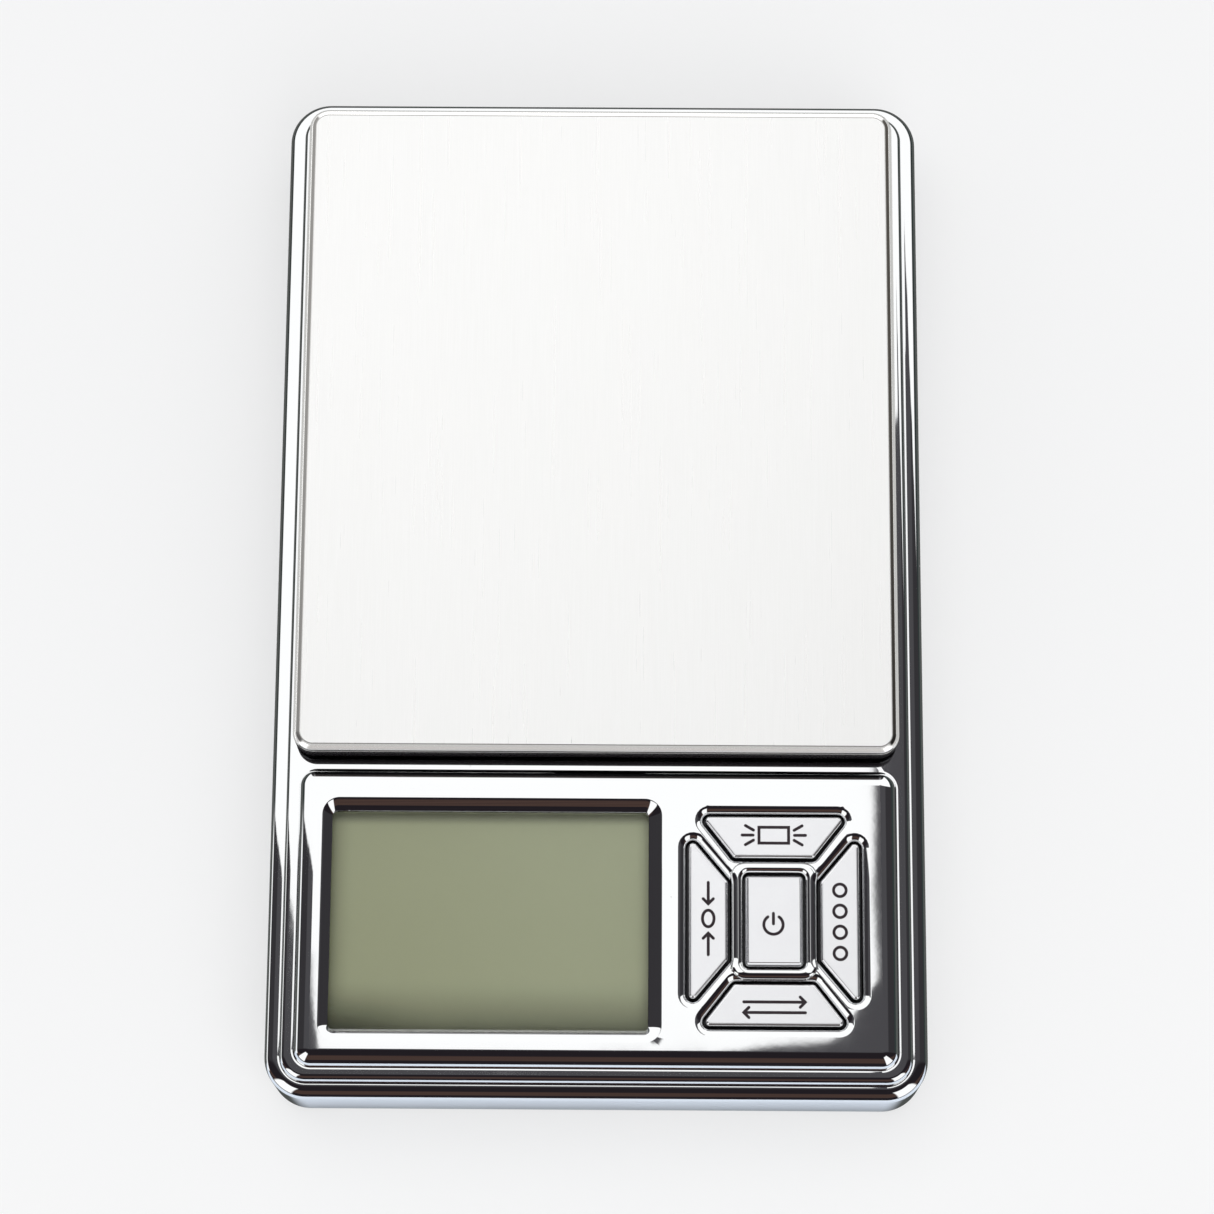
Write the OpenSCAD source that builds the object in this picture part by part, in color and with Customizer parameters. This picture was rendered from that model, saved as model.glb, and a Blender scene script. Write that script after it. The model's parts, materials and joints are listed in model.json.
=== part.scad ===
// Digital pocket gram scale: plated three-step case, brushed tray, recessed
// display at the front left and a five-key pad at the front right.
// Millimetres, +Z up, front (display end) towards -Y, left towards -X.
// Origin: middle of the bounding box footprint, on the plane the feet rest on.

/* [Case] */
// Width of the case (left to right)
body_w = 78; // [78:0.5:82]
// Length of the case (front to rear)
body_l = 124.6; // [124.4:0.1:126]
// Plan radius of the outer corners
corner_r = 5; // [4.8:0.1:5.4]
// Height of the rubber feet below the base
foot_h = 0.8; // [0.5:0.1:1]
// Wall thickness of the upper housing
wall = 2; // [1.8:0.1:2]

/* [Steps] */
// Inset of the second step from the outer wall
step_b = 1.8; // [1.7:0.1:1.9]
// Radius of the outer step's upper edge
round_c = 1.6; // [1.4:0.1:1.6]
// Radius of the second step's upper edge
round_b = 0.8; // [0.6:0.1:1.2]
// Width of the raised display deck
deck_w = 71; // [70.6:0.1:71.2]
// Length of the raised display deck
deck_l = 35.6; // [35.2:0.1:35.8]
// Radius of the deck's upper edge
round_a = 1.4; // [1:0.1:1.4]

/* [Tray] */
// Width of the weighing tray
tray_w = 71.9; // [71.5:0.1:72.1]
// Length of the weighing tray
tray_l = 81.2; // [80.5:0.1:81.3]
// Height of the tray's skirt
tray_h = 3; // [2.6:0.1:3]
// Radius of the tray's upper edge
tray_edge = 0.8; // [0.5:0.1:0.9]
// Thickness of the tray's sheet metal
tray_t = 0.6; // [0.5:0.1:0.6]
// Sideways offset of the tray on its adhesive pads
tray_x = -0.25; // [-0.3:0.05:0.3]

/* [Display] */
// Width of the clear opening
win_w = 37.5; // [36:0.5:38]
// Length of the clear opening
win_l = 25.8; // [24:0.2:26]
// Width of the bevel round the opening
win_bevel = 1.45; // [1:0.05:1.6]
// Depth of the opening below the deck
win_d = 2; // [1.8:0.1:2]

/* [Keys] */
// Clearance round each key
key_gap = 0.25; // [0.2:0.05:0.3]
// Travel of each key
key_travel = 0.8; // [0.5:0.1:0.8]

/* [Load cell] */
// Length of the aluminium beam
cell_l = 44; // [42:1:44]
// Width of the aluminium beam
cell_w = 9; // [8:0.5:10]
// Height of the aluminium beam
cell_h = 6; // [6:0.1:6.2]
// Downward travel of the tray at the overload stop
tray_travel = 0.4; // [0.2:0.1:0.4]

/* [Hidden] */
$fn = 64;

// ---- Levels and thicknesses ----
overlap = 0.2;                 // depth by which joined parts run into each other
z_base = foot_h;               // underside of the base
base_t = 1.6;                  // thickness of the base plate
z_in = z_base + base_t;        // inside of the base plate
z_split = 3.5;                 // joint line between the two housings
z_rim = z_split - 0.1;         // top of the lower housing's rim
z_ledge = 13.2;                // top of the outer step
z_floor = 14.6;                // top of the second step, the floor under the tray
z_deck = 16.2;                 // top of the display deck
z_lens = z_deck - win_d;       // top of the clear window
z_tray = 18.9;                 // weighing surface
floor_skin = 1.3;
deck_skin = 1.5;
z_floor_in = z_floor - floor_skin;
z_deck_in = z_deck - deck_skin;
z_wall_round = z_ledge - round_c;            // where the outer step's rounding starts
z_board = 7.1;                               // underside of the circuit board
z_board_top = z_board + 1.6;

// ---- Plan positions ----
deck_y = -(body_l/2 - 3.45) + deck_l/2;      // middle of the deck
deck_r = 2.1;                                // plan radius of the deck's corners
keypad_x = 20.85;                            // middle of the key pad
keypad_y = deck_y - 0.4;
lcd_x = -12.7;                               // middle of the display opening
lcd_y = deck_y - 0.4;
tray_y = 18.7;                               // middle of the tray
// case screw bosses: x, y, radius
bosses = [[35.2, -59.2, 2.2], [-35.2, -59.2, 2.2], [34.4, 8, 2.4], [-34.4, 8, 2.4],
  [34, 56.8, 2.4], [-34, 56.8, 2.4]];
feet = [[31, -51], [-31, -51], [33.2, 46.4], [-33.2, 46.4]];
// board posts: x, y, radius, level of the ceiling each hangs from
board_posts = [[-30.5, -23.6, 1.7, z_floor_in], [9.4, -23.6, 1.7, z_floor_in],
  [31, -23.6, 1.7, z_floor_in], [9.7, -56.2, 1.3, z_deck_in]];

// ---- Load cell ----
cell_y = 6;                                  // middle of the beam
z_cell = 4.6;                                // underside of the beam
z_cell_top = z_cell + cell_h;
cell_end_l = 10;                             // length of the pad at each end
free_y = cell_y + cell_l/2 - cell_end_l/2;   // middle of the free (rear) end pad
fix_y = cell_y - cell_l/2 + cell_end_l/2;    // middle of the fixed (front) end pad
cell_bore_y = 5;                             // bores and gauges, from the beam's middle
z_pedestal = 4;                              // top of the pedestal under the fixed end
z_carrier_post = 11.2;                       // foot of the carrier's post
// screws through the end pads
cell_screw_pitch = 6;
cell_screw_r = 1.45;
cell_screw_head_r = 2.7;
cell_screw_hole_r = 1.55;
cell_screw_recess_r = 2.9;

// ---- Battery bay ----
bat_y = [42.5, 53.3];                        // axes of the front and rear cells
bat_z = 7.55;
bat_r = 5.25;
bay_x = 25.35;                               // half length of the bay
bay_y = (bat_y[0] + bat_y[1])/2;
bay_front = 36.9;
bay_wall = 1.2;
z_bay_top = 12.6;
contact_x = 24.9;                            // inner face of the contact plates
contact_t = 0.7;
z_contact = [3.3, 12];                       // bottom and top of the contact plates
contact_margin = 4.4;                        // plate's reach in y past a cell's axis
door_x = 27.3;                               // half width of the door
door_front = 35.5;
door_t = 1;
door_tongue = 1;                             // reach of the tongue on each side
door_gap = 0.2;

// ---- Keys ----
key_r = 0.5;                                 // corner radius of a key
key_post_x = 7.6;                            // places of the posts under the outer keys
key_post_y = 9.97;
z_key_flange = 13.7;
z_key_post = 10.9;                           // foot of the posts, top of the mat's domes
z_key_top = z_deck - 0.05;                   // top of the four outer keys
z_power_top = z_deck + 0.3;
// centres of the corner arcs, anticlockwise, about the middle of the pad
light_corners = [[-4.45, 8.0], [4.45, 8.0], [7.55, 11.95], [-7.55, 11.95]];
tare_corners = [[-9.55, -8.75], [-5.95, -4.45], [-5.95, 4.45], [-9.55, 8.75]];
power_corners = [[-2.95, -4.95], [2.95, -4.95], [2.95, 4.95], [-2.95, 4.95]];
mode_corners = half_turn(light_corners);
count_corners = half_turn(tare_corners);
outer_keys = [light_corners, mode_corners, tare_corners, count_corners];

// ---- Colours ----
base_silver = [0.74, 0.75, 0.77];
key_silver = [0.86, 0.86, 0.88];
light_metal = [0.8, 0.8, 0.8];
small_screw_grey = [0.5, 0.5, 0.52];
cell_screw_grey = [0.55, 0.55, 0.57];
contact_metal = [0.83, 0.82, 0.78];
battery_green = [0.2, 0.35, 0.3];

// ---- Basic shapes ----
function half_turn(points) = [for (point = points) -point];

// box between two opposite corners
module box(low, high) translate(low) cube(high - low);
// box centred on x, y
module block(x, y, width, length, z0, z1)
  translate([x - width/2, y - length/2, z0]) cube([width, length, z1 - z0]);
// upright cylinder; place holds x, y first
module rod(place, radius, z0, z1)
  translate([place[0], place[1], z0]) cylinder(h = z1 - z0, r = radius);
module at_each(places) for (place = places) translate([place[0], place[1], 0]) children();

module rounded_rect(width, length, radius) {
  square([width - 2*radius, length], center = true);
  square([width, length - 2*radius], center = true);
  for (side_x = [-1, 1], side_y = [-1, 1])
    translate([side_x*(width/2 - radius), side_y*(length/2 - radius)]) circle(radius);
}
module plate(width, length, radius, z0, z1)
  translate([0, 0, z0]) linear_extrude(z1 - z0) rounded_rect(width, length, radius);

// sweeps an edge profile (child, drawn in [distance from corner centre, height])
// round a rectangle with the given corner radius, and fills the middle
module swept(width, length, radius, z0, z1) {
  mid_x = width/2 - radius;
  mid_y = length/2 - radius;
  for (i = [0 : 3])
    translate([(i == 0 || i == 3 ? 1 : -1)*mid_x, (i < 2 ? 1 : -1)*mid_y, 0])
      rotate([0, 0, 90*i]) rotate_extrude(angle = 90) children();
  for (turn = [0, 180]) rotate([0, 0, turn]) {
    translate([mid_x, mid_y, 0]) rotate([90, 0, 0]) linear_extrude(2*mid_y) children();
    translate([-mid_x, mid_y, 0]) rotate([90, 0, 90]) linear_extrude(2*mid_x) children();
  }
  block(0, 0, 2*mid_x, 2*mid_y, z0, z1);
}

// edge profile with a rounded upper outer corner
module rounded_step(reach, height, radius) {
  square([reach, height - radius]);
  square([reach - radius, height]);
  translate([reach - radius, height - radius]) circle(radius);
}

// screw with its head down and a cross recess in the head
module screw(z, head_r, head_h, shank_r, shank_l) translate([0, 0, z]) difference() {
  slot = 1.5*head_r;
  union() {
    cylinder(h = head_h, r = head_r);
    cylinder(h = head_h + shank_l, r = shank_r);
  }
  translate([0, 0, -0.1]) {
    block(0, 0, 0.4, slot, 0, 0.6);
    block(0, 0, slot, 0.4, 0, 0.6);
  }
}

// ---- Wires ----
function unit(v) = v/norm(v);
function tangent(path, i) = unit(path[min(i + 1, len(path) - 1)] - path[max(i - 1, 0)]);
// a direction square to the tangent
function across(along) = unit(cross(along, abs(along[2]) > 0.9 ? [1, 0, 0] : [0, 0, 1]));

// eight-sided tube along a path
module tube(path, radius) {
  n = 8;
  last = len(path) - 1;
  points = [for (i = [0 : last])
    let (along = tangent(path, i), a = across(along), b = cross(along, a))
    for (k = [0 : n - 1]) path[i] + radius*(cos(360*k/n)*a + sin(360*k/n)*b)];
  faces = concat(
    [[for (k = [0 : n - 1]) k]],
    [for (i = [0 : last - 1], k = [0 : n - 1])
      [i*n + (k + 1)%n, i*n + k, (i + 1)*n + k, (i + 1)*n + (k + 1)%n]],
    [[for (k = [n - 1 : -1 : 0]) last*n + k]]);
  polyhedron(points, faces, convexity = 6);
}

// Bezier curve on four control points, starting at the point numbered first
function bezier(points, first = 0) = [for (i = [0 : 14]) let (t = i/14)
  pow(1 - t, 3)*points[first] + 3*t*pow(1 - t, 2)*points[first + 1]
  + 3*t*t*(1 - t)*points[first + 2] + t*t*t*points[first + 3]];

// ---- Load cell screws ----
function cell_screw_places(y) = [for (side = [-1, 1]) [0, y + side*cell_screw_pitch/2]];
module cell_screw_holes(y, radius, z0, z1)
  for (place = cell_screw_places(y)) rod(place, radius, z0, z1);

// ---- Key outlines ----
// outline with round corners, grown outwards
module key_outline(corners, grow = 0)
  hull() for (corner = corners) translate(corner) circle(key_r + grow, $fn = 32);
// corner moved out so that both sides meeting there shift by grow
function sharp_corner(before, corner, after, grow) =
  let (u = unit(corner - before), v = unit(after - corner),
    normal_u = [-u[1], u[0]], normal_v = [-v[1], v[0]])
  corner - (normal_u + normal_v)*grow/(1 + normal_u*normal_v);
// outline with square corners, its sides the given distance outside the arc centres
module sharp_outline(corners, grow)
  polygon([for (i = [0 : 3])
    sharp_corner(corners[(i + 3)%4], corners[i], corners[(i + 1)%4], grow)]);

// ---- Upper housing ----
module tier_profile() {
  rounded_step(corner_r, z_ledge, round_c);
  rounded_step(corner_r - step_b, z_floor, round_b);
}
module deck_profile() {
  square([deck_r, z_deck - round_a]);
  square([deck_r - round_a, z_deck]);
  intersection() {
    translate([deck_r - round_a, z_deck - round_a]) circle(round_a);
    square([deck_r, z_deck]);
  }
}
module case_outside() {
  swept(body_w, body_l, corner_r, 0, z_floor) tier_profile();
  translate([0, deck_y, 0]) swept(deck_w, deck_l, deck_r, 0, z_deck) deck_profile();
  // raised frame round the power key
  translate([keypad_x, keypad_y, z_deck - 0.5]) linear_extrude(0.8) rounded_rect(9.9, 13.6, 1.2);
}
// open underside and the space inside
module case_cavity() {
  upper_inset = step_b + round_c + 0.4;
  block(0, 0, 200, 200, -z_split - 2, z_split);
  plate(body_w - 2*wall, body_l - 2*wall, corner_r - wall, z_split - 1, z_wall_round - 0.4);
  plate(body_w - 2*upper_inset, body_l - 2*upper_inset, 1.1, z_split - 1, z_floor_in);
  translate([0, deck_y, 0]) plate(deck_w - 4.4, deck_l - 4.4, 1, z_split - 1, z_deck_in);
}
// bevel of the display opening, widening upwards; drop lowers its bottom
module display_bevel(drop = 0) translate([lcd_x, lcd_y, 0]) hull() {
  translate([0, 0, z_lens - drop]) linear_extrude(0.01) square([win_w, win_l], center = true);
  translate([0, 0, z_deck]) linear_extrude(0.02)
    square([win_w + 2*win_bevel, win_l + 2*win_bevel], center = true);
}
// key openings, the outer four each with a shallow well
module key_openings() {
  translate([keypad_x, keypad_y, z_split]) linear_extrude(z_deck)
    for (corners = concat(outer_keys, [power_corners])) sharp_outline(corners, key_r + key_gap);
  translate([keypad_x, keypad_y, z_deck - 0.6]) linear_extrude(2)
    for (corners = outer_keys) sharp_outline(corners, key_r + 0.7);
}
module upper_housing() color([0.78, 0.79, 0.81]) difference() {
  union() {
    difference() {
      union() case_outside();
      case_cavity();
      block(lcd_x, lcd_y, win_w, win_l, z_split, z_deck + 1);
      display_bevel();
      key_openings();
      // opening in the floor for the carrier's post
      block(0, free_y, 15.2, 15.2, z_split, z_floor + 1);
    }
    // frame that carries the display window
    difference() {
      block(lcd_x, lcd_y, 40.9, 29.9, z_lens, z_deck_in);
      display_bevel(drop = 0.01);
    }
    for (boss = bosses) rod(boss, boss[2], z_split + 0.3, z_wall_round + overlap);
    for (post = board_posts) difference() {
      rod(post, post[2], z_board_top, post[3] + overlap);
      rod(post, 0.73, z_board_top - 1, 12.2);
    }
  }
  // holes for the case screws
  for (boss = bosses) rod(boss, 1.03, z_split - 1, 11);
}

// ---- Lower housing ----
base_inset = 0.3;              // inset of the base from the upper housing's sides
rim_inset = 2.3;               // inset of the rim's inner face from the same sides
base_round = 1;                // radius of the base's lower edge
base_r = corner_r - base_inset;

module base_profile() {
  z_round = z_base + base_round;
  translate([0, z_round]) square([base_r, z_rim - z_round]);
  translate([0, z_base]) square([base_r - base_round, z_rim - z_base]);
  translate([base_r - base_round, z_round]) circle(base_round);
}
module base_shell() difference() {
  swept(body_w - 2*base_inset, body_l - 2*base_inset, base_r, z_base, z_rim) base_profile();
  plate(body_w - 2*rim_inset, body_l - 2*rim_inset, corner_r - rim_inset, z_in, z_split + 1);
}
// ribs that locate the base inside the upper housing
module locating_ribs() {
  z_foot = z_in - overlap;
  z_top = 5;
  rib_t = 1.2;
  for (side = [-1, 1]) {
    rib_x = side*(body_w/2 - 2.8);
    block(0, side*(body_l/2 - 2.8), 56, rib_t, z_foot, z_top);
    for (ends = [[-50, 2], [14, 49.5]])
      box([rib_x - rib_t/2, ends[0], z_foot], [rib_x + rib_t/2, ends[1], z_top]);
  }
}
module bay_walls() {
  z_foot = z_in - overlap;
  outer_x = bay_x + bay_wall;
  box([-outer_x, bay_front - bay_wall, z_foot], [outer_x, bay_front, z_bay_top]);
  for (x = [-outer_x, bay_x]) box([x, 36.3, z_foot], [x + bay_wall, 58.2, z_bay_top]);
}
// battery opening, the door's slide and the slots for the contact plates
module bay_openings() {
  slide_x = door_x + door_gap;
  slide_front = door_front - door_gap;
  groove_x = slide_x + door_tongue;
  z_slide = z_base + door_t + 0.1;
  box([-bay_x, bay_front, 0], [bay_x, 58.6, z_in + 1]);
  box([-slide_x, slide_front, 0], [slide_x, 70, z_slide]);
  box([-groove_x, slide_front, z_base + 0.45], [groove_x, 70, z_slide]);
  for (side = [-1, 1]) block(side*(bay_x + 0.105), bay_y, 0.41, 20, 3.2, 13);
}
module lower_housing() color(base_silver) difference() {
  union() {
    base_shell();
    locating_ribs();
    for (boss = bosses) rod(boss, 1.9, z_in - overlap, z_rim);
    bay_walls();
    // pedestal under the load cell's fixed end
    block(0, fix_y, 11, 12, z_in - overlap, z_pedestal);
    // ribs that steady the board
    for (x = [-20, 0, 20]) block(x, -53.5, 1.2, 7, z_in - overlap, 4.2);
  }
  // screw clearance and head recesses
  for (boss = bosses) {
    rod(boss, 1.2, 0, 6);
    rod(boss, 2.05, 0, z_base + 1.5);
  }
  cell_screw_holes(fix_y, cell_screw_hole_r, 0, 6);
  cell_screw_holes(fix_y, cell_screw_recess_r, 0, z_base + 1.6);
  // hole for the overload stop
  rod([0, free_y], 1.53, 0, 6);
  // recesses for the feet
  for (foot = feet) rod(foot, 3.6, 0, z_base + 0.3);
  bay_openings();
}

module battery_door() color(base_silver) difference() {
  rear = body_l/2 - 0.6;
  tongue_x = door_x + door_tongue;
  union() {
    box([-door_x, door_front, z_base], [door_x, rear, z_base + door_t]);
    box([-tongue_x, door_front, z_base + 0.55], [tongue_x, rear, z_base + door_t]);
  }
  // six grooves across the underside
  for (i = [0 : 5]) block(0, 51.65 + 1.4*i, 14, 0.7, z_base - 0.1, z_base + 0.35);
}

module rubber_feet() color([0.12, 0.12, 0.13]) at_each(feet) rotate_extrude() {
  radius = 3.5;
  edge = 0.4;
  top = z_base + 0.3;
  square([radius - edge, top]);
  translate([0, edge]) square([radius, top - edge]);
  translate([radius - edge, edge]) circle(edge);
}

module case_screws() color(small_screw_grey) at_each(bosses)
  screw(z_base + 0.3, head_r = 1.9, head_h = 1.2, shank_r = 1, shank_l = 8);

// ---- Platform ----
tray_r = 2.2;                  // plan radius of the tray's corners
z_pad = z_tray - tray_t;       // top of the adhesive pads
pad_t = 0.5;

module platform_tray() color([0.86, 0.86, 0.84])
  translate([tray_x, tray_y, z_tray - tray_h]) difference() {
    intersection() {
      swept(tray_w, tray_l, tray_r, 0, tray_h) rounded_step(tray_r, tray_h, tray_edge);
      block(0, 0, tray_w + 2, tray_l + 2, 0, tray_h);
    }
    plate(tray_w - 2*tray_t, tray_l - 2*tray_t, tray_r - tray_t, -1, tray_h - tray_t);
  }
module platform_pads() color([0.9, 0.88, 0.8])
  for (side = [-1, 1]) block(side*22, tray_y, 12, 60, z_pad - pad_t, z_pad);
module platform_carrier() color([0.16, 0.16, 0.17]) difference() {
  union() {
    translate([0, tray_y, 0]) plate(68, 77, 2.5, 16, z_pad - pad_t);
    translate([0, free_y, 0]) plate(12, 12, 1.5, z_carrier_post, 16.1);
  }
  // lightening pockets either side of the middle web
  for (side = [-1, 1]) block(side*17, tray_y, 14, 66, 15, 16.8);
  cell_screw_holes(free_y, cell_screw_hole_r, 10, 19);
  cell_screw_holes(free_y, cell_screw_recess_r, 15.4, 19);
}
module carrier_screws() color(cell_screw_grey) at_each(cell_screw_places(free_y))
  translate([0, 0, 17.4]) mirror([0, 0, 1])
    screw(0, head_r = cell_screw_head_r, head_h = 2, shank_r = cell_screw_r, shank_l = 8.6);
module platform_spacer() color(light_metal) difference() {
  block(0, free_y, cell_w, cell_end_l, z_cell_top, z_carrier_post);
  cell_screw_holes(free_y, cell_screw_hole_r, 10, 12);
}

// ---- Load cell and its parts ----
gauge_t = 0.1;

module load_cell() color([0.82, 0.83, 0.84]) difference() {
  z_middle = z_cell + cell_h/2;
  block(0, cell_y, cell_w, cell_l, z_cell, z_cell_top);
  // two cross bores joined by a slot
  for (side = [-1, 1]) translate([-20, cell_y + side*cell_bore_y, z_middle])
    rotate([0, 90, 0]) cylinder(h = 40, r = 2.4);
  block(0, cell_y, 40, 2*cell_bore_y, z_middle - 0.8, z_middle + 0.8);
  for (y = [free_y, fix_y]) cell_screw_holes(y, 1.47, 0, 20);
}
// blocks with a gauge's outline, over each bore
module gauge_blocks(z0, z1)
  for (side = [-1, 1]) block(0, cell_y + side*cell_bore_y, 4, 5, z0, z1);
module strain_gauges() color([0.85, 0.6, 0.2]) {
  gauge_blocks(z_cell_top, z_cell_top + gauge_t);
  gauge_blocks(z_cell - gauge_t, z_cell);
}
module gauge_sealant() color([0.95, 0.95, 0.93]) difference() {
  thickness = 0.7;
  union() for (z = [z_cell_top, z_cell - thickness]) block(0, cell_y, 7.2, 17, z, z + thickness);
  gauge_blocks(z_cell - gauge_t, z_cell_top + gauge_t);
}
module base_spacer() color(light_metal) difference() {
  block(0, fix_y, cell_w, cell_end_l, z_pedestal, z_cell);
  cell_screw_holes(fix_y, cell_screw_hole_r, 3, 6);
}
module base_screws() color(cell_screw_grey) at_each(cell_screw_places(fix_y))
  screw(z_base + 0.2, head_r = cell_screw_head_r, head_h = 1.4,
    shank_r = cell_screw_r, shank_l = 7.4);
// slotted pin under the beam's free end
module overload_stop() color([0.6, 0.6, 0.62]) difference() {
  rod([0, free_y], 1.5, z_base + 0.2, z_cell - tray_travel);
  block(0, free_y, 2.4, 0.5, z_base, z_base + 0.9);
}

// ---- Display ----
z_guide = z_board_top + 0.2;   // underside of the light guide
z_guide_top = 10.9;
z_glass = 10.95;               // underside of the display glass
z_glass_step = 12.1;           // joint between the two panes
zebra_y = 13.1;                // zebra strips, from the display's middle

module at_lcd() translate([lcd_x, lcd_y, 0]) children();

module display_window() color([0.8, 0.85, 0.85, 0.4])
  at_lcd() block(0, 0, 40.8, 29.8, z_lens - 1, z_lens);
module lcd_panel() color([0.55, 0.56, 0.48]) at_lcd() {
  block(0, 0, 39.5, 28, z_glass_step, 13.1);
  block(0, 0, 39.5, 28, z_glass, z_glass_step);
}
module lcd_frame() color([0.93, 0.93, 0.9]) at_lcd() difference() {
  block(0, 0, 41.2, 29.7, z_board_top, 12.9);
  // seat for the panel, space for the backlight, slots for the zebra strips
  block(0, 0, 39.7, 28.2, 10.9, 14);
  block(0, 0, 38.2, 24.2, z_board_top - 1, 12);
  for (side = [-1, 1]) block(0, side*zebra_y, 34.4, 1.6, z_board_top - 1, 12);
}
module backlight_sheet(z0, z1) at_lcd() box([-17.4, -12, z0], [19, 12, z1]);
module backlight_guide() color([0.9, 0.95, 0.9, 0.6]) backlight_sheet(z_guide, z_guide_top);
module backlight_reflector() color([0.97, 0.97, 0.97]) backlight_sheet(z_board_top, z_guide);
module backlight_leds() color([0.95, 0.9, 0.6])
  at_lcd() for (y = [-7, 7]) block(-18.2, y, 1.4, 3.2, z_board_top, z_board_top + 1.6);
module zebra_strips() color([0.85, 0.55, 0.65])
  at_lcd() for (side = [-1, 1]) block(0, side*zebra_y, 34, 1.4, z_board_top, z_glass);

// ---- Circuit board; its components hang from the underside ----
module main_pcb() color([0.1, 0.35, 0.18]) difference() {
  box([-33.4, -57, z_board], [33.4, -21.2, z_board_top]);
  for (post = board_posts) rod(post, 0.9, 0, 20);
}
module pcb_screws() color(small_screw_grey) at_each(board_posts)
  screw(z_board - 0.9, head_r = 1.35, head_h = 0.9, shank_r = 0.7, shank_l = 4.6);
module controller_blob() color([0.06, 0.06, 0.07]) translate([-12, -40, z_board]) intersection() {
  translate([0, 0, 9.2]) sphere(11, $fn = 96);
  translate([0, 0, -2]) cylinder(h = 2, r = 6.5);
}
module adc_chip() color([0.1, 0.1, 0.11]) {
  difference() {
    block(17, -34, 10, 4, z_board - 1.7, z_board - 0.2);
    // pin-one mark
    rod([13, -35], 0.4, 0, z_board - 1.5);
  }
  // two rows of eight pins
  for (i = [0 : 7], y = [-36.475, -31.525])
    block(12.6 + 1.25*i, y, 0.4, 1.05, z_board - 0.7, z_board);
}
module crystal() color(light_metal) translate([2, -31, z_board - 3]) linear_extrude(3) {
  square([6, 3.6], center = true);
  for (side = [-1, 1]) translate([3*side, 0]) circle(1.8);
}
module capacitors() color([0.15, 0.18, 0.35])
  for (x = [-26, -19]) rod([x, -28], 2, z_board - 4, z_board);
module chip_resistors() color([0.2, 0.2, 0.2])
  for (i = [0 : 5]) block(14.8 + 2.6*i, -41.6, 1.6, 0.8, z_board - 0.5, z_board);
module cell_connector() color([0.95, 0.95, 0.9]) difference() {
  box([-5, -27.6, z_board - 3.6], [5, -23.4, z_board]);
  box([-4.2, -25, z_board - 3], [4.2, -23, z_board - 0.6]);
}

// ---- Key pad ----
module keypad_mat() color([0.35, 0.35, 0.38]) translate([keypad_x, keypad_y, 0]) {
  plate(21.4, 25, 1.5, z_board_top, z_board_top + 0.8);
  for (post = [[0, 0], [0, key_post_y], [0, -key_post_y], [-key_post_x, 0], [key_post_x, 0]])
    rod(post, 1.9, z_board_top + 0.7, z_key_post);
}
// key cap with a flange at its foot and a post below
module key(corners, post, top) color(key_silver) translate([keypad_x, keypad_y, 0]) {
  translate([0, 0, z_key_flange]) linear_extrude(top - z_key_flange) key_outline(corners);
  translate([0, 0, z_key_flange]) linear_extrude(0.9) key_outline(corners, grow = 0.55);
  rod(post, 1.5, z_key_post, z_key_flange + 0.1);
}
module key_power() key(power_corners, [0, 0], z_power_top);
module key_light() key(light_corners, [0, key_post_y], z_key_top);
module key_tare() key(tare_corners, [-key_post_x, 0], z_key_top);
module key_count() key(count_corners, [key_post_x, 0], z_key_top);
module key_mode() key(mode_corners, [0, -key_post_y], z_key_top);

// ---- Batteries and contacts ----
// cell with its positive end to the right, or to the left when flipped
module battery(y, flip) translate([0, y, bat_z]) mirror([flip ? 1 : 0, 0, 0])
  rotate([0, 90, 0]) {
    translate([0, 0, -19.6]) cylinder(h = 43.5, r = bat_r);
    translate([0, 0, 20]) cylinder(h = contact_x - 20, r = 1.9);
  }
module battery_front() color(battery_green) battery(bat_y[0], flip = false);
module battery_rear() color(battery_green) battery(bat_y[1], flip = true);

// conical spring, narrowing upwards
module spring() {
  turns = 4;
  wire_r = 0.3;
  height = 5.3;
  foot_r = 3.6;
  tip_r = 1.8;
  steps = 14*turns;
  tube([for (i = [0 : steps]) let (t = i/steps, radius = foot_r + (tip_r - foot_r)*t)
    [radius*cos(360*turns*t), radius*sin(360*turns*t), wire_r + (height - 2*wire_r)*t]],
    wire_r);
}
module battery_springs() color(light_metal) {
  translate([-contact_x, bat_y[0], bat_z]) rotate([0, 90, 0]) spring();
  translate([contact_x, bat_y[1], bat_z]) rotate([0, -90, 0]) spring();
}
// contact plate starting at x, covering the cell axes from y0 to y1
module contact_plate(x, y0, y1)
  box([x, y0 - contact_margin, z_contact[0]], [x + contact_t, y1 + contact_margin, z_contact[1]]);
module battery_terminals() color(contact_metal)
  for (y = bat_y) contact_plate(-contact_x - contact_t, y, y);
module battery_bridge() color(contact_metal) contact_plate(contact_x, bat_y[0], bat_y[1]);

// ---- Cables ----
// control points of two curves that share the fourth point
red_lead = [[-27.2, bat_y[0] + 1, 11.5], [-29, 35.3, 11.5], [-30, 30, 10], [-30, 10, 6],
  [-30, -8, 2.9], [-28, -14, 3.4], [-28, -25, 6.6]];
black_lead = [[-27.2, bat_y[0] - 1, 10], [-28, 33.3, 10], [-28, 30, 8], [-28, 10, 5],
  [-28, -8, 2.9], [-26, -14, 3.4], [-26, -23.5, 6.6]];
cable_colours = [[0.8, 0.1, 0.1], [0.1, 0.1, 0.1], [0.9, 0.9, 0.9], [0.1, 0.5, 0.2]];

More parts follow.
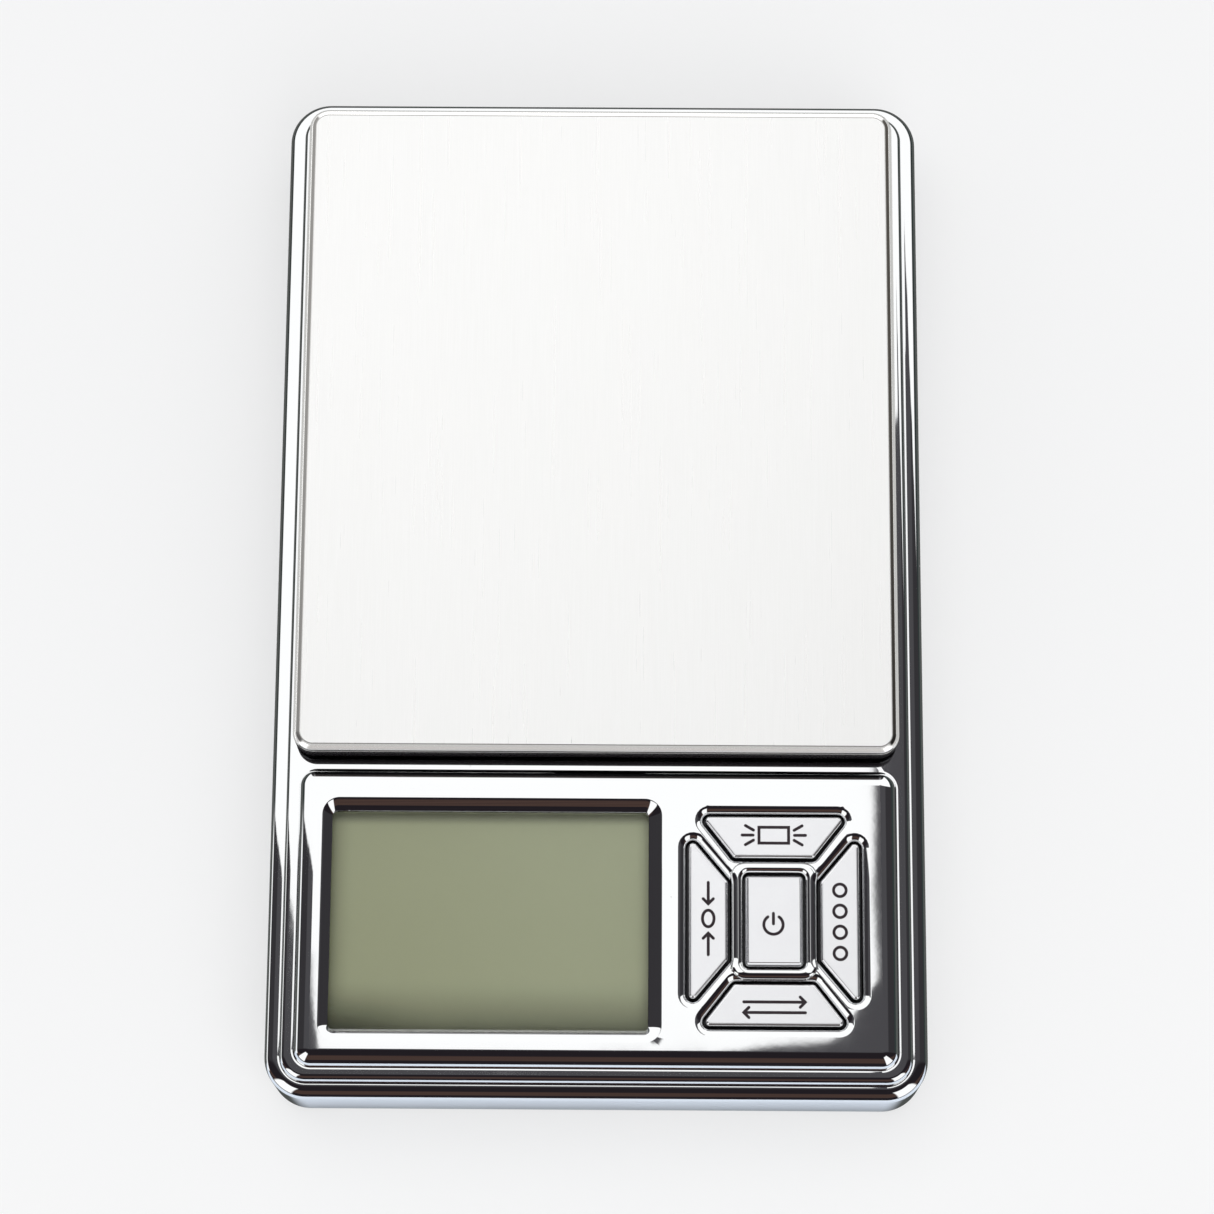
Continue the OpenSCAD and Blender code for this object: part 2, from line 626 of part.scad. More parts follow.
module lead(points) tube(concat(bezier(points), bezier(points, first = 3)), 0.5);
module battery_leads() {
  color([0.75, 0.1, 0.1]) lead(red_lead);
  color([0.1, 0.1, 0.1]) lead(black_lead);
}
module load_cell_cable() for (i = [0 : 3]) color(cable_colours[i])
  tube(bezier([[3.7, cell_y - 3 + 2*i, z_cell_top + 0.45],
    [12 + i, cell_y - 4 + 2*i, z_cell_top + 0.6],
    [10 + i, -20, 4.2],
    [-3 + 1.6*i, -24.6, z_board - 1.8]]), 0.3);

upper_housing();
lower_housing();
battery_door();
rubber_feet();
case_screws();
platform_tray();
platform_pads();
platform_carrier();
carrier_screws();
platform_spacer();
load_cell();
strain_gauges();
gauge_sealant();
base_spacer();
base_screws();
overload_stop();
display_window();
lcd_panel();
lcd_frame();
backlight_guide();
backlight_reflector();
backlight_leds();
zebra_strips();
main_pcb();
pcb_screws();
controller_blob();
adc_chip();
crystal();
capacitors();
chip_resistors();
cell_connector();
keypad_mat();
key_power();
key_light();
key_tare();
key_count();
key_mode();
battery_front();
battery_rear();
battery_springs();
battery_terminals();
battery_bridge();
battery_leads();
load_cell_cable();
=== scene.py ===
"""Pocket scale: a plated housing with a display, five keys and a brushed weighing tray.

It lies flat on the floor, +Z up and X across. The display (left) and the keys (right) are at
the front (-Y), the tray is behind them. Lengths are in mm and turn to metres in the scene.
"""
import itertools
import json
import math

import bmesh
import bpy
import numpy as np
from mathutils import Matrix, Vector
from mathutils.geometry import delaunay_2d_cdt


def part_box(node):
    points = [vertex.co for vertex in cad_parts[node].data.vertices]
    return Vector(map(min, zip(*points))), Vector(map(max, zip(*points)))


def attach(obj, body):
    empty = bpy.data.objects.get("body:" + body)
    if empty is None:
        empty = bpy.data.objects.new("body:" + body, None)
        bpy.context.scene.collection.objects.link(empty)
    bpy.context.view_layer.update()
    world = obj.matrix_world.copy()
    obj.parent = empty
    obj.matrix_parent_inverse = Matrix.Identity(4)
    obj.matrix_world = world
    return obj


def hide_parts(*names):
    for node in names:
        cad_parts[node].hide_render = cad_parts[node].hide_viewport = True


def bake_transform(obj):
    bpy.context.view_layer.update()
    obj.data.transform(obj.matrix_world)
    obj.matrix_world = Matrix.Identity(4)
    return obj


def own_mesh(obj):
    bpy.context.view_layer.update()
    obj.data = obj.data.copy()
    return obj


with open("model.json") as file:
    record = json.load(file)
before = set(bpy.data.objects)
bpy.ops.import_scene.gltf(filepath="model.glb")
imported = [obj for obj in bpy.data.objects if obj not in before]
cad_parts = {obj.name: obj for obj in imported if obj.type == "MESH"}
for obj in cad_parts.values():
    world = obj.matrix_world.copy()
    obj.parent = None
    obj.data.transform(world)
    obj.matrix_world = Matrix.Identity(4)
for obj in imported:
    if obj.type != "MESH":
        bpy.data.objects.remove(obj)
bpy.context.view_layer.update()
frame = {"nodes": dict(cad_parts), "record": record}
MM = 0.001


def box_plan(node, radius):
    """Plan of a CAD node's bounding box, with a corner radius of our own."""
    low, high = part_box(node)
    return ((low.x + high.x) / 2 / MM, (low.y + high.y) / 2 / MM,
            (high.x - low.x) / MM, (high.y - low.y) / MM, radius)


# ---------------------------------------------------------------- dimensions (mm)
# heights: case split, lower ledge, shelf round the deck, deck, top of the tray
SPLIT_Z, LEDGE_Z, SHELF_Z, DECK_Z, TRAY_Z = 3.5, 13.2, 14.6, 16.2, 18.9
DECK_UNDER_Z = DECK_Z - 1.5
SHELF_UNDER_Z = SHELF_Z - 1.3
INNER_LIP_Z = 11.2

# plans: centre x, centre y, width, length, corner radius
HOUSING = (0, 0, 78.0, 124.6, 5.0)
DECK = (0, -41.05, 71.0, 35.6, 2.1)
DECK_INNER = (0, DECK[1], DECK[2] - 4.4, DECK[3] - 4.4, 1)
WINDOW = (-12.7, -41.45, 37.5, 25.8, 0.45)
POST_HOLE = (0, 23.0, 15.2, 15.2, 0.4)
TRAY = box_plan("platform_tray", radius=2.4)

# segments in each corner
HOUSING_STEPS, DECK_STEPS, WINDOW_STEPS, INNER_STEPS, POST_STEPS = 20, 14, 12, 8, 4
KEY_STEPS = 8

# key outlines: corner centres, anticlockwise, about the middle of the pad
PAD = np.array([20.85, -41.45])
KEYS = {
    "light": [[-4.45, 8.0], [4.45, 8.0], [7.55, 11.95], [-7.55, 11.95]],
    "mode": [[-7.55, -11.95], [7.55, -11.95], [4.45, -8.0], [-4.45, -8.0]],
    "tare": [[-9.55, -8.75], [-5.95, -4.45], [-5.95, 4.45], [-9.55, 8.75]],
    "count": [[9.55, 8.75], [5.95, 4.45], [5.95, -4.45], [9.55, -8.75]],
    "power": [[-2.95, -4.95], [2.95, -4.95], [2.95, 4.95], [-2.95, 4.95]],
}
KEYS = {name: np.array(corners) + PAD for name, corners in KEYS.items()}
# stem and dome centres about the middle of the pad
STEMS = {"power": (0, 0), "light": (0, 9.97), "tare": (-7.6, 0),
         "count": (7.6, 0), "mode": (0, -9.97)}
KEY_RADIUS = 0.5
WELL_RADIUS = KEY_RADIUS + 0.25
RIM_HEIGHT = 0.3
KEY_TOPS = {name: DECK_Z - 0.05 for name in KEYS}
KEY_TOPS["power"] = DECK_Z + RIM_HEIGHT
# width and depth of the rolled edge round each key well
WELL_ROLLS = {name: (1.05, 0.95) for name in KEYS}
WELL_ROLLS["power"] = (0.58, 0.62)
# raised rim round the power key, 10.2 x 14: corner centres, and its flanks from the outline
RIM_RADIUS = 1.9
RIM = np.array([[-1, -1], [1, -1], [1, 1], [-1, 1]]) \
    * (10.2 / 2 - RIM_RADIUS, 14.0 / 2 - RIM_RADIUS) + PAD
RIM_OUTER, RIM_INNER = 0.03, -0.36


# ---------------------------------------------------------------- outlines
def unit(vector):
    return vector / np.linalg.norm(vector)


def outline(plan, offset, steps):
    """Plan grown by offset: anticlockwise points and outward directions."""
    centre_x, centre_y, width, length, radius = plan
    width, length = width + 2 * offset, length + 2 * offset
    radius = max(radius + offset, 0.02)
    points, directions = [], []
    for corner in range(4):
        side_x = 1 if corner in (0, 3) else -1
        side_y = 1 if corner in (0, 1) else -1
        x = centre_x + side_x * (width / 2 - radius)
        y = centre_y + side_y * (length / 2 - radius)
        for i in range(steps + 1):
            angle = math.radians(90 * corner + 90 * i / steps)
            direction = (math.cos(angle), math.sin(angle))
            points.append((x + radius * direction[0], y + radius * direction[1]))
            directions.append(direction)
    return points, directions


def grown_quad(corners, growth, steps, spacing=None):
    """Quadrilateral grown with round corners; spacing adds points along the sides."""
    points, directions = [], []
    for i in range(4):
        corner, following = corners[i], corners[(i + 1) % 4]
        arriving = unit(corner - corners[i - 1])
        leaving = unit(following - corner)
        start = math.atan2(-arriving[0], arriving[1])
        end = math.atan2(-leaving[0], leaving[1])
        while end < start:
            end += 2 * math.pi
        for k in range(steps + 1):
            angle = start + (end - start) * k / steps
            direction = np.array([math.cos(angle), math.sin(angle)])
            points.append(corner + growth * direction)
            directions.append(direction)
        if spacing:
            direction = np.array([leaving[1], -leaving[0]])
            pieces = max(1, int(round(np.linalg.norm(following - corner) / spacing)))
            for k in range(1, pieces):
                points.append(corner + growth * direction + (following - corner) * k / pieces)
                directions.append(direction)
    return points, directions


def well_outline(corners):
    return grown_quad(corners, WELL_RADIUS, KEY_STEPS, spacing=0.3)


def ring(x, y, radius, steps):
    angles = [2 * math.pi * k / steps for k in range(steps)]
    directions = [(math.cos(angle), math.sin(angle)) for angle in angles]
    return [(x + radius * dx, y + radius * dy) for dx, dy in directions], directions


def inside(points, polygon):
    """Even-odd test of which points lie in the polygon."""
    polygon = np.asarray(polygon, float)
    x, y = points[:, 0], points[:, 1]
    result = np.zeros(len(points), bool)
    for (x0, y0), (x1, y1) in zip(polygon, np.roll(polygon, -1, axis=0)):
        if y0 == y1:
            continue
        spans = (y0 > y) != (y1 > y)
        result ^= spans & (x < (x1 - x0) * (y - y0) / (y1 - y0) + x0)
    return result


def quad_distance(points, corners, growth):
    """Signed distance to a grown quadrilateral, negative inside, and its gradient."""
    nearest = np.full(len(points), 1e9)
    gradient = np.zeros((len(points), 2))
    within = np.ones(len(points), bool)
    for i in range(4):
        start = corners[i]
        edge = corners[(i + 1) % 4] - start
        offset = points - start
        along = np.clip((offset @ edge) / (edge @ edge), 0, 1)
        gap = offset - along[:, None] * edge
        length = np.linalg.norm(gap, axis=1)
        within &= (edge[0] * offset[:, 1] - edge[1] * offset[:, 0]) >= 0
        closer = length < nearest
        nearest = np.where(closer, length, nearest)
        normal = np.where(length[:, None] > 1e-7,
                          gap / np.maximum(length, 1e-7)[:, None],
                          np.array([[edge[1], -edge[0]]]) / np.linalg.norm(edge))
        gradient[closer] = normal[closer]
    distance = np.where(within, -nearest, nearest)
    gradient = np.where(within[:, None], -gradient, gradient)
    return distance - growth, gradient


# ---------------------------------------------------------------- profiles
# rows are offset from the plan, z, outward part and upward part of the normal
FILLET = 0.03


def quarter_ellipse(offset, z, depth, height, steps):
    """From the wall up and inwards to the flat, about a centre at (offset, z)."""
    rows = []
    for i in range(steps + 1):
        angle = math.radians(90 * i / steps)
        cosine, sine = math.cos(angle), math.sin(angle)
        outward, upward = cosine / depth, sine / height
        size = math.hypot(outward, upward)
        rows.append((offset + depth * cosine, z + height * sine, outward / size, upward / size))
    return rows


def fillet(offset, z):
    """Tiny inner corner from a flat to the wall that rises from it."""
    rows = []
    for i in range(4):
        angle = math.radians(90 * i / 3)
        cosine, sine = math.cos(angle), math.sin(angle)
        rows.append((offset + FILLET - FILLET * sine, z + FILLET - FILLET * cosine, sine, cosine))
    return rows


def level(z, up=1):
    """Surface for Mesh.fill: one height, with normals up (1) or down (-1)."""
    def surface(points):
        count = len(points)
        return np.full(count, float(z)), np.tile([0.0, 0.0, float(up)], (count, 1))
    return surface


# ---------------------------------------------------------------- mesh building
WELD_CELL = 2e-3
WELD_DISTANCE = 4e-4


def ring_faces(rows, count):
    """Quads that join rows + 1 closed loops of count points."""
    faces = []
    for i in range(rows):
        for k in range(count):
            a, b = i * count + k, i * count + (k + 1) % count
            faces.append((a, b, b + count, a + count))
    return faces


class Mesh:
    """Gathers welded points, faces and corner normals, and makes one object of them."""

    def __init__(self):
        self.points, self.faces, self.normals = [], [], []
        self.cells = {}

    def vertex(self, point):
        """Index of the point, shared with any point close by."""
        cell = tuple(math.floor(c / WELD_CELL) for c in point)
        for shift in itertools.product((0, 1, -1), repeat=3):
            neighbour = tuple(c + s for c, s in zip(cell, shift))
            for i in self.cells.get(neighbour, ()):
                if all(abs(a - b) < WELD_DISTANCE for a, b in zip(self.points[i], point)):
                    return i
        self.points.append(tuple(float(c) for c in point))
        self.cells.setdefault(cell, []).append(len(self.points) - 1)
        return len(self.points) - 1

    def patch(self, points, normals, faces):
        """Adds faces, leaving out collapsed ones and turning each to suit its normals."""
        indices = [self.vertex(point) for point in points]
        for face in faces:
            corners, turned = [], []
            for i in face:
                if not corners or indices[i] != corners[-1]:
                    corners.append(indices[i])
                    turned.append(normals[i])
            if len(corners) > 1 and corners[0] == corners[-1]:
                corners.pop()
                turned.pop()
            if len(set(corners)) != len(corners) or len(corners) < 3:
                continue
            places = np.array([self.points[i] for i in corners])
            area = np.zeros(3)
            for k in range(1, len(places) - 1):
                area += np.cross(places[k] - places[0], places[k + 1] - places[0])
            if np.linalg.norm(area) < 1e-9:
                continue
            if float(area @ np.sum(turned, axis=0)) < 0:
                corners, turned = corners[::-1], turned[::-1]
            self.faces.append(corners)
            self.normals.extend(turned)

    def loft(self, loops, lean=0.0):
        """Joins loops of (points, directions, z, outward, upward).

        lean tips the normals of the right-hand side forward.
        """
        points, normals = [], []
        for loop, directions, z, outward, upward in loops:
            for point, (dx, dy) in zip(loop, directions):
                points.append((point[0], point[1], z))
                normals.append((outward * dx, outward * dy - lean * max(dx, 0.0) * upward, upward))
        self.patch(points, normals, ring_faces(len(loops) - 1, len(loops[0][0])))

    def sweep(self, plan, profile, steps, lean=0.0):
        """Carries a profile round a plan."""
        self.loft([(*outline(plan, row[0], steps), *row[1:]) for row in profile], lean)

    def strip(self, plan, start, end, normal, steps):
        """One flat-shaded strip between two (offset, z) places."""
        self.sweep(plan, [(*start, *normal), (*end, *normal)], steps)

    def foot(self, plan, start, end, z, steps):
        """Narrow strip at the foot of a step, shaded as dished except along the rear."""
        loops = []
        for offset, outward in ((start, -0.045), (end, -0.075)):
            points, directions = outline(plan, offset, steps)
            directions = [(dx, min(dy, 0.0)) for dx, dy in directions]
            loops.append((points, directions, z, outward, 1))
        self.loft(loops)

    def cap(self, points, z, up, tilt=(0, 0)):
        """One many-sided face; tilt is the sideways part of its normal."""
        self.patch([(p[0], p[1], z) for p in points], [(*tilt, up)] * len(points),
                   [tuple(range(len(points)))])

    def fill(self, outer, holes, surface, extra=()):
        """Triangulates between an outer loop and holes; surface gives heights and normals."""
        points, edges = [], []
        for loop in [outer] + holes:
            clean = [loop[0]]
            for point in loop[1:]:
                if math.dist(point, clean[-1]) > 1e-4:
                    clean.append(point)
            if math.dist(clean[0], clean[-1]) < 1e-4:
                clean.pop()
            first, count = len(points), len(clean)
            points += [Vector((p[0], p[1])) for p in clean]
            edges += [(first + i, first + (i + 1) % count) for i in range(count)]
        points += [Vector((p[0], p[1])) for p in extra]
        vertices, _, faces = delaunay_2d_cdt(points, edges, [], 0, 1e-6)[:3]
        places = np.array([(v.x, v.y) for v in vertices])
        triangles = np.array([face for face in faces if len(face) == 3])
        centres = places[triangles].mean(axis=1)
        keep = inside(centres, outer)
        for hole in holes:
            keep &= ~inside(centres, hole)
        heights, normals = surface(places)
        self.patch([(x, y, z) for (x, y), z in zip(places, heights)],
                   [tuple(normal) for normal in normals],
                   [tuple(triangle) for triangle in triangles[keep]])

    def tube(self, x, y, bottom, top, radius, bore=0):
        """Upright post with chamfered rims; a bore makes it a tube."""
        chamfer = min(0.12, (radius - bore) / 4) if bore else min(0.15, radius / 4)
        rim = radius - chamfer

        def loft(*rows):
            self.loft([(*ring(x, y, row[0], 28), *row[1:]) for row in rows])

        loft((rim, bottom, 0.4, -0.9), (radius, bottom + chamfer, 0.9, -0.4),
             (radius, top - chamfer, 0.9, 0.4), (rim, top, 0.4, 0.9))
        if bore:
            loft((rim, bottom, 0, -1), (bore, bottom, 0, -1))
            loft((bore, bottom, -1, 0), (bore, top, -1, 0))
            loft((bore, top, 0, 1), (rim, top, 0, 1))
        else:
            for z, up in ((bottom, -1), (top, 1)):
                self.cap(ring(x, y, rim, 28)[0], z, up)

    def make(self, name, slot, part, replaces=None, material=None):
        data = bpy.data.meshes.new(name)
        data.from_pydata([tuple(c * MM for c in p) for p in self.points], [], self.faces)
        data.polygons.foreach_set("use_smooth", [True] * len(data.polygons))
        normals = []
        for x, y, z in self.normals:
            size = math.sqrt(x ** 2 + y ** 2 + z ** 2) or 1.0
            normals.append((x / size, y / size, z / size))
        data.normals_split_custom_set(normals)
        data.update()
        made = bpy.data.objects.new(name, data)
        bpy.context.scene.collection.objects.link(made)
        data.materials.append(material or MATERIALS[slot])
        if replaces:
            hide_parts(replaces)
        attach(made, part)
        return made


# ---------------------------------------------------------------- node helpers
class Value:
    """A float socket with arithmetic, in the node tree being built."""
    tree = None

    def __init__(self, socket):
        self.socket = socket

    def __add__(self, other):
        return compute("ADD", self, other)

    def __radd__(self, other):
        return compute("ADD", other, self)

    def __sub__(self, other):
        return compute("SUBTRACT", self, other)

    def __rsub__(self, other):
        return compute("SUBTRACT", other, self)

    def __mul__(self, other):
        return compute("MULTIPLY", self, other)

    def __rmul__(self, other):
        return compute("MULTIPLY", other, self)


def set_inputs(node, inputs):
    """Links or sets inputs by name or index; a colour is given without its alpha."""
    for key, value in inputs.items():
        socket = node.inputs[key]
        if isinstance(value, Value):
            value = value.socket
        if isinstance(value, bpy.types.NodeSocket):
            Value.tree.links.new(value, socket)
        elif isinstance(value, tuple):
            socket.default_value = value if socket.type == "VECTOR" else (*value, 1.0)
        else:
            socket.default_value = float(value)


def add_node(kind, inputs=(), **properties):
    node = Value.tree.nodes.new("ShaderNode" + kind)
    for name, value in properties.items():
        setattr(node, name, value)
    set_inputs(node, dict(inputs))
    return node


def compute(operation, *values):
    return Value(add_node("Math", enumerate(values), operation=operation).outputs[0])


def maximum(a, b):
    return compute("MAXIMUM", a, b)


def minimum(a, b):
    return compute("MINIMUM", a, b)


def rise(value, start, end):
    """Smooth step from 0 at start to 1 at end."""
    node = add_node("MapRange", enumerate((value, start, end, 0.0, 1.0)),
                    interpolation_type="SMOOTHSTEP")
    return Value(node.outputs[0])


def band(value, start, end, soft):
    """1 between start and end, with soft edges."""
    return rise(value, start - soft, start + soft) * (1 - rise(value, end - soft, end + soft))


def mix(factor, first, second, blend="MIX"):
    """Mix of two colours, as tuples or sockets."""
    node = add_node("Mix", {0: factor, 6: first, 7: second},
                    data_type="RGBA", blend_type=blend, clamp_factor=True)
    return node.outputs[2]


def split(vector, axes):
    """Components of a vector, for axes such as "XZ"."""
    node = add_node("SeparateXYZ", {0: vector})
    return [Value(node.outputs[axis]) for axis in axes]


def place_mm(axes):
    """Components of the place on the object, in mm."""
    place = add_node("TexCoord").outputs["Object"]
    return [value * 1000 for value in split(place, axes)]


def texture_place(scale=(1, 1, 1)):
    """Place on the object in mm, times scale."""
    place = add_node("TexCoord").outputs["Object"]
    scale = tuple(1000 * s for s in scale)
    return add_node("Mapping", {0: place, "Scale": scale}).outputs[0]


def noise(vector, scale, detail=3, roughness=0.5):
    node = add_node("TexNoise", {"Vector": vector, "Scale": scale, "Detail": detail,
                                 "Roughness": roughness})
    return Value(node.outputs[0])


def bump(height, depth, strength=1.0, normal=None):
    """Bumped normal, with depth in mm."""
    node = add_node("Bump", {"Height": height, "Distance": depth * MM, "Strength": strength})
    if normal is not None:
        set_inputs(node, {"Normal": normal})
    return node.outputs[0]


def surface_normal(axes):
    return split(add_node("NewGeometry").outputs["Normal"], axes)


def grey(value):
    return (value, value, value)


def srgb(*channels):
    """Linear colour from 8-bit sRGB channels."""
    linear = []
    for channel in channels:
        c = channel / 255
        linear.append(c / 12.92 if c <= 0.04045 else ((c + 0.055) / 1.055) ** 2.4)
    return tuple(linear)


def start_material(name):
    material = bpy.data.materials.new(name)
    material.use_nodes = True
    Value.tree = material.node_tree
    return material, Value.tree.nodes["Principled BSDF"]


# ---------------------------------------------------------------- materials
def plated_abs():
    """Bright plating on a slightly wavy moulding, with dust, smudges and painted shade in the key
    openings.
    """
    material, shader = start_material("plated_abs")
    place = texture_place()
    waves = bump(noise(place, scale=0.07, detail=2), depth=0.0035)
    surface = bump(noise(place, scale=0.9, detail=2), depth=0.00012, normal=waves)
    # dust in a few of the cells, picked by their random colour
    cells = add_node("TexVoronoi", {"Scale": 0.33, "Vector": place})
    chance = Value(add_node("SeparateColor", {0: cells.outputs["Color"]}).outputs[0])
    dust = (1 - rise(Value(cells.outputs["Distance"]), 0.012, 0.03)) * rise(chance, 0.72, 0.75)
    smudge = rise(noise(place, scale=0.07, detail=4, roughness=0.6), 0.45, 0.75)
    # painted shade deep down in the key openings
    x, y, z = place_mm("XYZ")
    over_pad = band(x, 8.5, 33.0, soft=0.1) * band(y, -56.0, -27.0, soft=0.1)
    well_shade = over_pad * (1 - rise(z, 15.25, 15.55)) * rise(z, 13.0, 13.5)
    plating = mix(dust, (0.93, 0.94, 0.945), grey(0.8))
    set_inputs(shader, {
        "Base Color": mix(well_shade, plating, (0.02, 0.02, 0.022)),
        "Metallic": 1 - 0.8 * dust,
        "Roughness": 0.015 + 0.02 * smudge + 0.5 * dust,
        "Normal": surface,
    })
    return material


def brushed_stainless():
    """Steel brushed along Y, with a painted dark reflection line, a pale roll at the bent rim from a
    painted glow, and painted shade down the skirt.
    """
    material, shader = start_material("brushed_stainless")
    fine = noise(texture_place((9.0, 0.12, 1)), scale=1.0, detail=5, roughness=0.65)
    medium = noise(texture_place((2.4, 0.03, 1)), scale=1.0, roughness=0.6)
    broad = noise(texture_place((0.12, 0.02, 1)), scale=1.0, detail=2)
    streaks = mix(fine, (0.89, 0.885, 0.87), (0.985, 0.98, 0.97))
    shading = mix(0.6 * medium + 0.4 * broad, (0.95, 0.95, 0.945), grey(1.0))
    steel = mix(1.0, streaks, shading, blend="MULTIPLY")
    # the normal's tilt, in degrees from upright, tells the face, roll and skirt apart
    normal_x, normal_y, normal_z = surface_normal("XYZ")
    tilt = compute("ARCCOSINE", minimum(normal_z, 1.0)) * (180 / math.pi)
    sideways = rise(compute("ABSOLUTE", normal_x) - compute("ABSOLUTE", normal_y), -0.05, 0.05)
    # painted reflection line along the sides, a dark band on the roll; the left one is a little less
    # dark than the right
    side_reflection_line = rise(tilt, 0.2, 11.0) * (1 - rise(tilt, 26.0, 31.0)) \
        * (0.82 + 0.18 * rise(normal_x, -0.01, 0.01))
    # painted reflection lines: front and rear have one by the face and one low on the roll
    end_reflection_line = maximum(0.8 * band(tilt, 3.5, 8.0, soft=1.5), 0.92 * band(tilt, 52.0, 72.0, soft=4.0))
    line = sideways * side_reflection_line + (1 - sideways) * end_reflection_line
    lined = mix(line, steel, (0.085, 0.078, 0.068))
    # painted shade: the skirt darkens downwards
    z, = place_mm("Z")
    skirt = rise(tilt, 74, 80)
    skirt_painted_shade = mix(rise(z, 16.6, 17.9), (0.03, 0.03, 0.032), grey(0.30))
    # the roll starts just off the flat face; it glows a little as a painted highlight, to read pale
    roll = rise(tilt, 2.0, 8.0)
    set_inputs(shader, {
        "Base Color": mix(skirt, lined, skirt_painted_shade),
        "Metallic": 0.36 + 0.5 * rise(tilt, 2.0, 8.0),
        "Roughness": (0.24 + 0.1 * medium) * (1 - 0.35 * roll),
        "Anisotropic": 0.5,
        "Tangent": add_node("CombineXYZ", {1: 1.0}).outputs[0],
        "Normal": bump(fine, depth=0.0012, strength=0.6),
        # painted light: the face glows faintly and the roll more, except on the painted lines and
        # the skirt
        "Emission Color": (0.9, 0.885, 0.86),
        "Emission Strength": 0.075 * (1 - roll) + roll * (1 - line) * (1 - skirt) * 0.42,
    })
    return material


def key_silver():
    """Flecked silver paint, glossier on the rounded edges, with painted shade low down in the wells.
    """
    material, shader = start_material("key_silver")
    place = texture_place()
    fleck = noise(place, scale=9.0, roughness=0.7)
    soft = noise(place, scale=0.5, detail=2)
    normal_z, = surface_normal("Z")
    edge = 1 - rise(normal_z, 0.93, 0.985)
    z, = place_mm("Z")
    # painted shade low down in the wells
    well_shade = 1 - rise(z, 15.3, 15.6)
    paint = mix(0.7 * fleck + 0.3 * soft, (0.83, 0.83, 0.845), (0.96, 0.96, 0.975))
    set_inputs(shader, {
        "Base Color": mix(well_shade, paint, (0.03, 0.03, 0.033)),
        "Metallic": 0.6 + 0.3 * edge,
        "Roughness": (0.17 + 0.08 * fleck) * (1 - 0.6 * edge),
        "Normal": bump(fleck, depth=0.003, strength=0.6),
    })
    return material


def lcd_olive():
    """Olive display, shaded along its front, left and rear edges."""
    material, shader = start_material("lcd_olive")
    x, y = [value - centre for value, centre in zip(place_mm("XY"), WINDOW)]
    place = texture_place()
    # painted shading: slowly lighter to the right and the rear
    across = rise(x, -17, 16) * 0.7 + rise(y, -8, 12) * 0.3
    colour = mix(across, srgb(162, 164, 134), srgb(171, 174, 147))
    # shadow along the front, deeper to the left, with an uneven edge
    front = 1 - rise(y + 0.6 * (noise(place, scale=0.05, detail=1) - 0.5), -13.2, -6.5)
    left = 1 - rise(x, -19.5, -5.0)
    colour = mix(front * (0.62 + 0.38 * left), colour, srgb(55, 58, 32))
    # painted shade from the bezel along the left edge
    left_edge = (1 - rise(x, -19.2, -16.2)) * 0.35
    colour = mix(left_edge, colour, srgb(84, 87, 60))
    # painted shade from the bezel along the rear edge
    rear_edge = rise(y, 11.6, 13.0)
    colour = mix(rear_edge * 0.6, colour, srgb(97, 99, 87))
    grain = noise(place, scale=14.0, detail=2)
    set_inputs(shader, {
        "Base Color": mix(0.05 * grain, colour, srgb(170, 173, 158)),
        "Roughness": 0.5 + 0.1 * grain,
        "Specular IOR Level": 0.15,
        "Normal": bump(grain, depth=0.001, strength=0.3),
    })
    return material


def window_clear():
    """Clear sheet: straight-through light and a faint gloss."""
    material, shader = start_material("window_clear")
    Value.tree.nodes.remove(shader)
    clear = add_node("BsdfTransparent", {0: (0.985, 0.99, 0.98)})
    place = texture_place()
    gloss = add_node("BsdfGlossy", {
        "Roughness": 0.02 + 0.03 * noise(place, scale=0.5),
        "Normal": bump(noise(place, scale=0.3, detail=2), depth=0.0006, strength=0.5),
    })
    fresnel = Value(add_node("Fresnel", {0: 1.3}).outputs[0])
    mixed = add_node("MixShader", enumerate((fresnel * 0.8, clear.outputs[0], gloss.outputs[0])))
    set_inputs(Value.tree.nodes["Material Output"], {0: mixed.outputs[0]})
    return material


def pcb_green():
    """Solder mask over a raised brick pattern of tracks."""
    material, shader = start_material("pcb_green")
    place = texture_place()
    bricks = add_node("TexBrick", {
        "Vector": place, "Scale": 0.35, "Mortar Size": 0.03,
        "Color1": grey(0), "Color2": grey(0.1), "Mortar": grey(1),
    })
    tracks = Value(bricks.outputs["Fac"])
    mottle = noise(place, scale=0.4)
    base = mix(mottle, (0.015, 0.10, 0.045), (0.03, 0.16, 0.07))
    set_inputs(shader, {
        "Base Color": mix(tracks * 0.8, base, (0.06, 0.26, 0.11)),
        "Roughness": 0.28 + 0.15 * mottle,
        "Normal": bump(tracks, depth=0.03, strength=0.6),
    })
    return material


def battery_jacket():
    """Dark and copper jacket with bare metal ends."""
    material, shader = start_material("battery_jacket")
    x, y = place_mm("XY")
    # the front cell's positive end faces +X and the rear cell's faces -X
    along = x * (1 - 2 * rise(y, 47.8, 48.0))
    scuffs = noise(texture_place(), scale=1.5)
    jacket = mix(rise(along, 9.8, 10.0), (0.015, 0.03, 0.028), (0.55, 0.30, 0.09))
    ends = rise(along, 23.4, 23.6) + (1 - rise(along, -19.3, -19.1))
    set_inputs(shader, {
        "Base Color": mix(ends, jacket, (0.75, 0.75, 0.74)),
        "Metallic": 0.35 + 0.6 * minimum(ends, 1.0),
        "Roughness": 0.25 + 0.12 * scuffs,
        "Normal": bump(scuffs, depth=0.004, strength=0.5),
    })
    return material


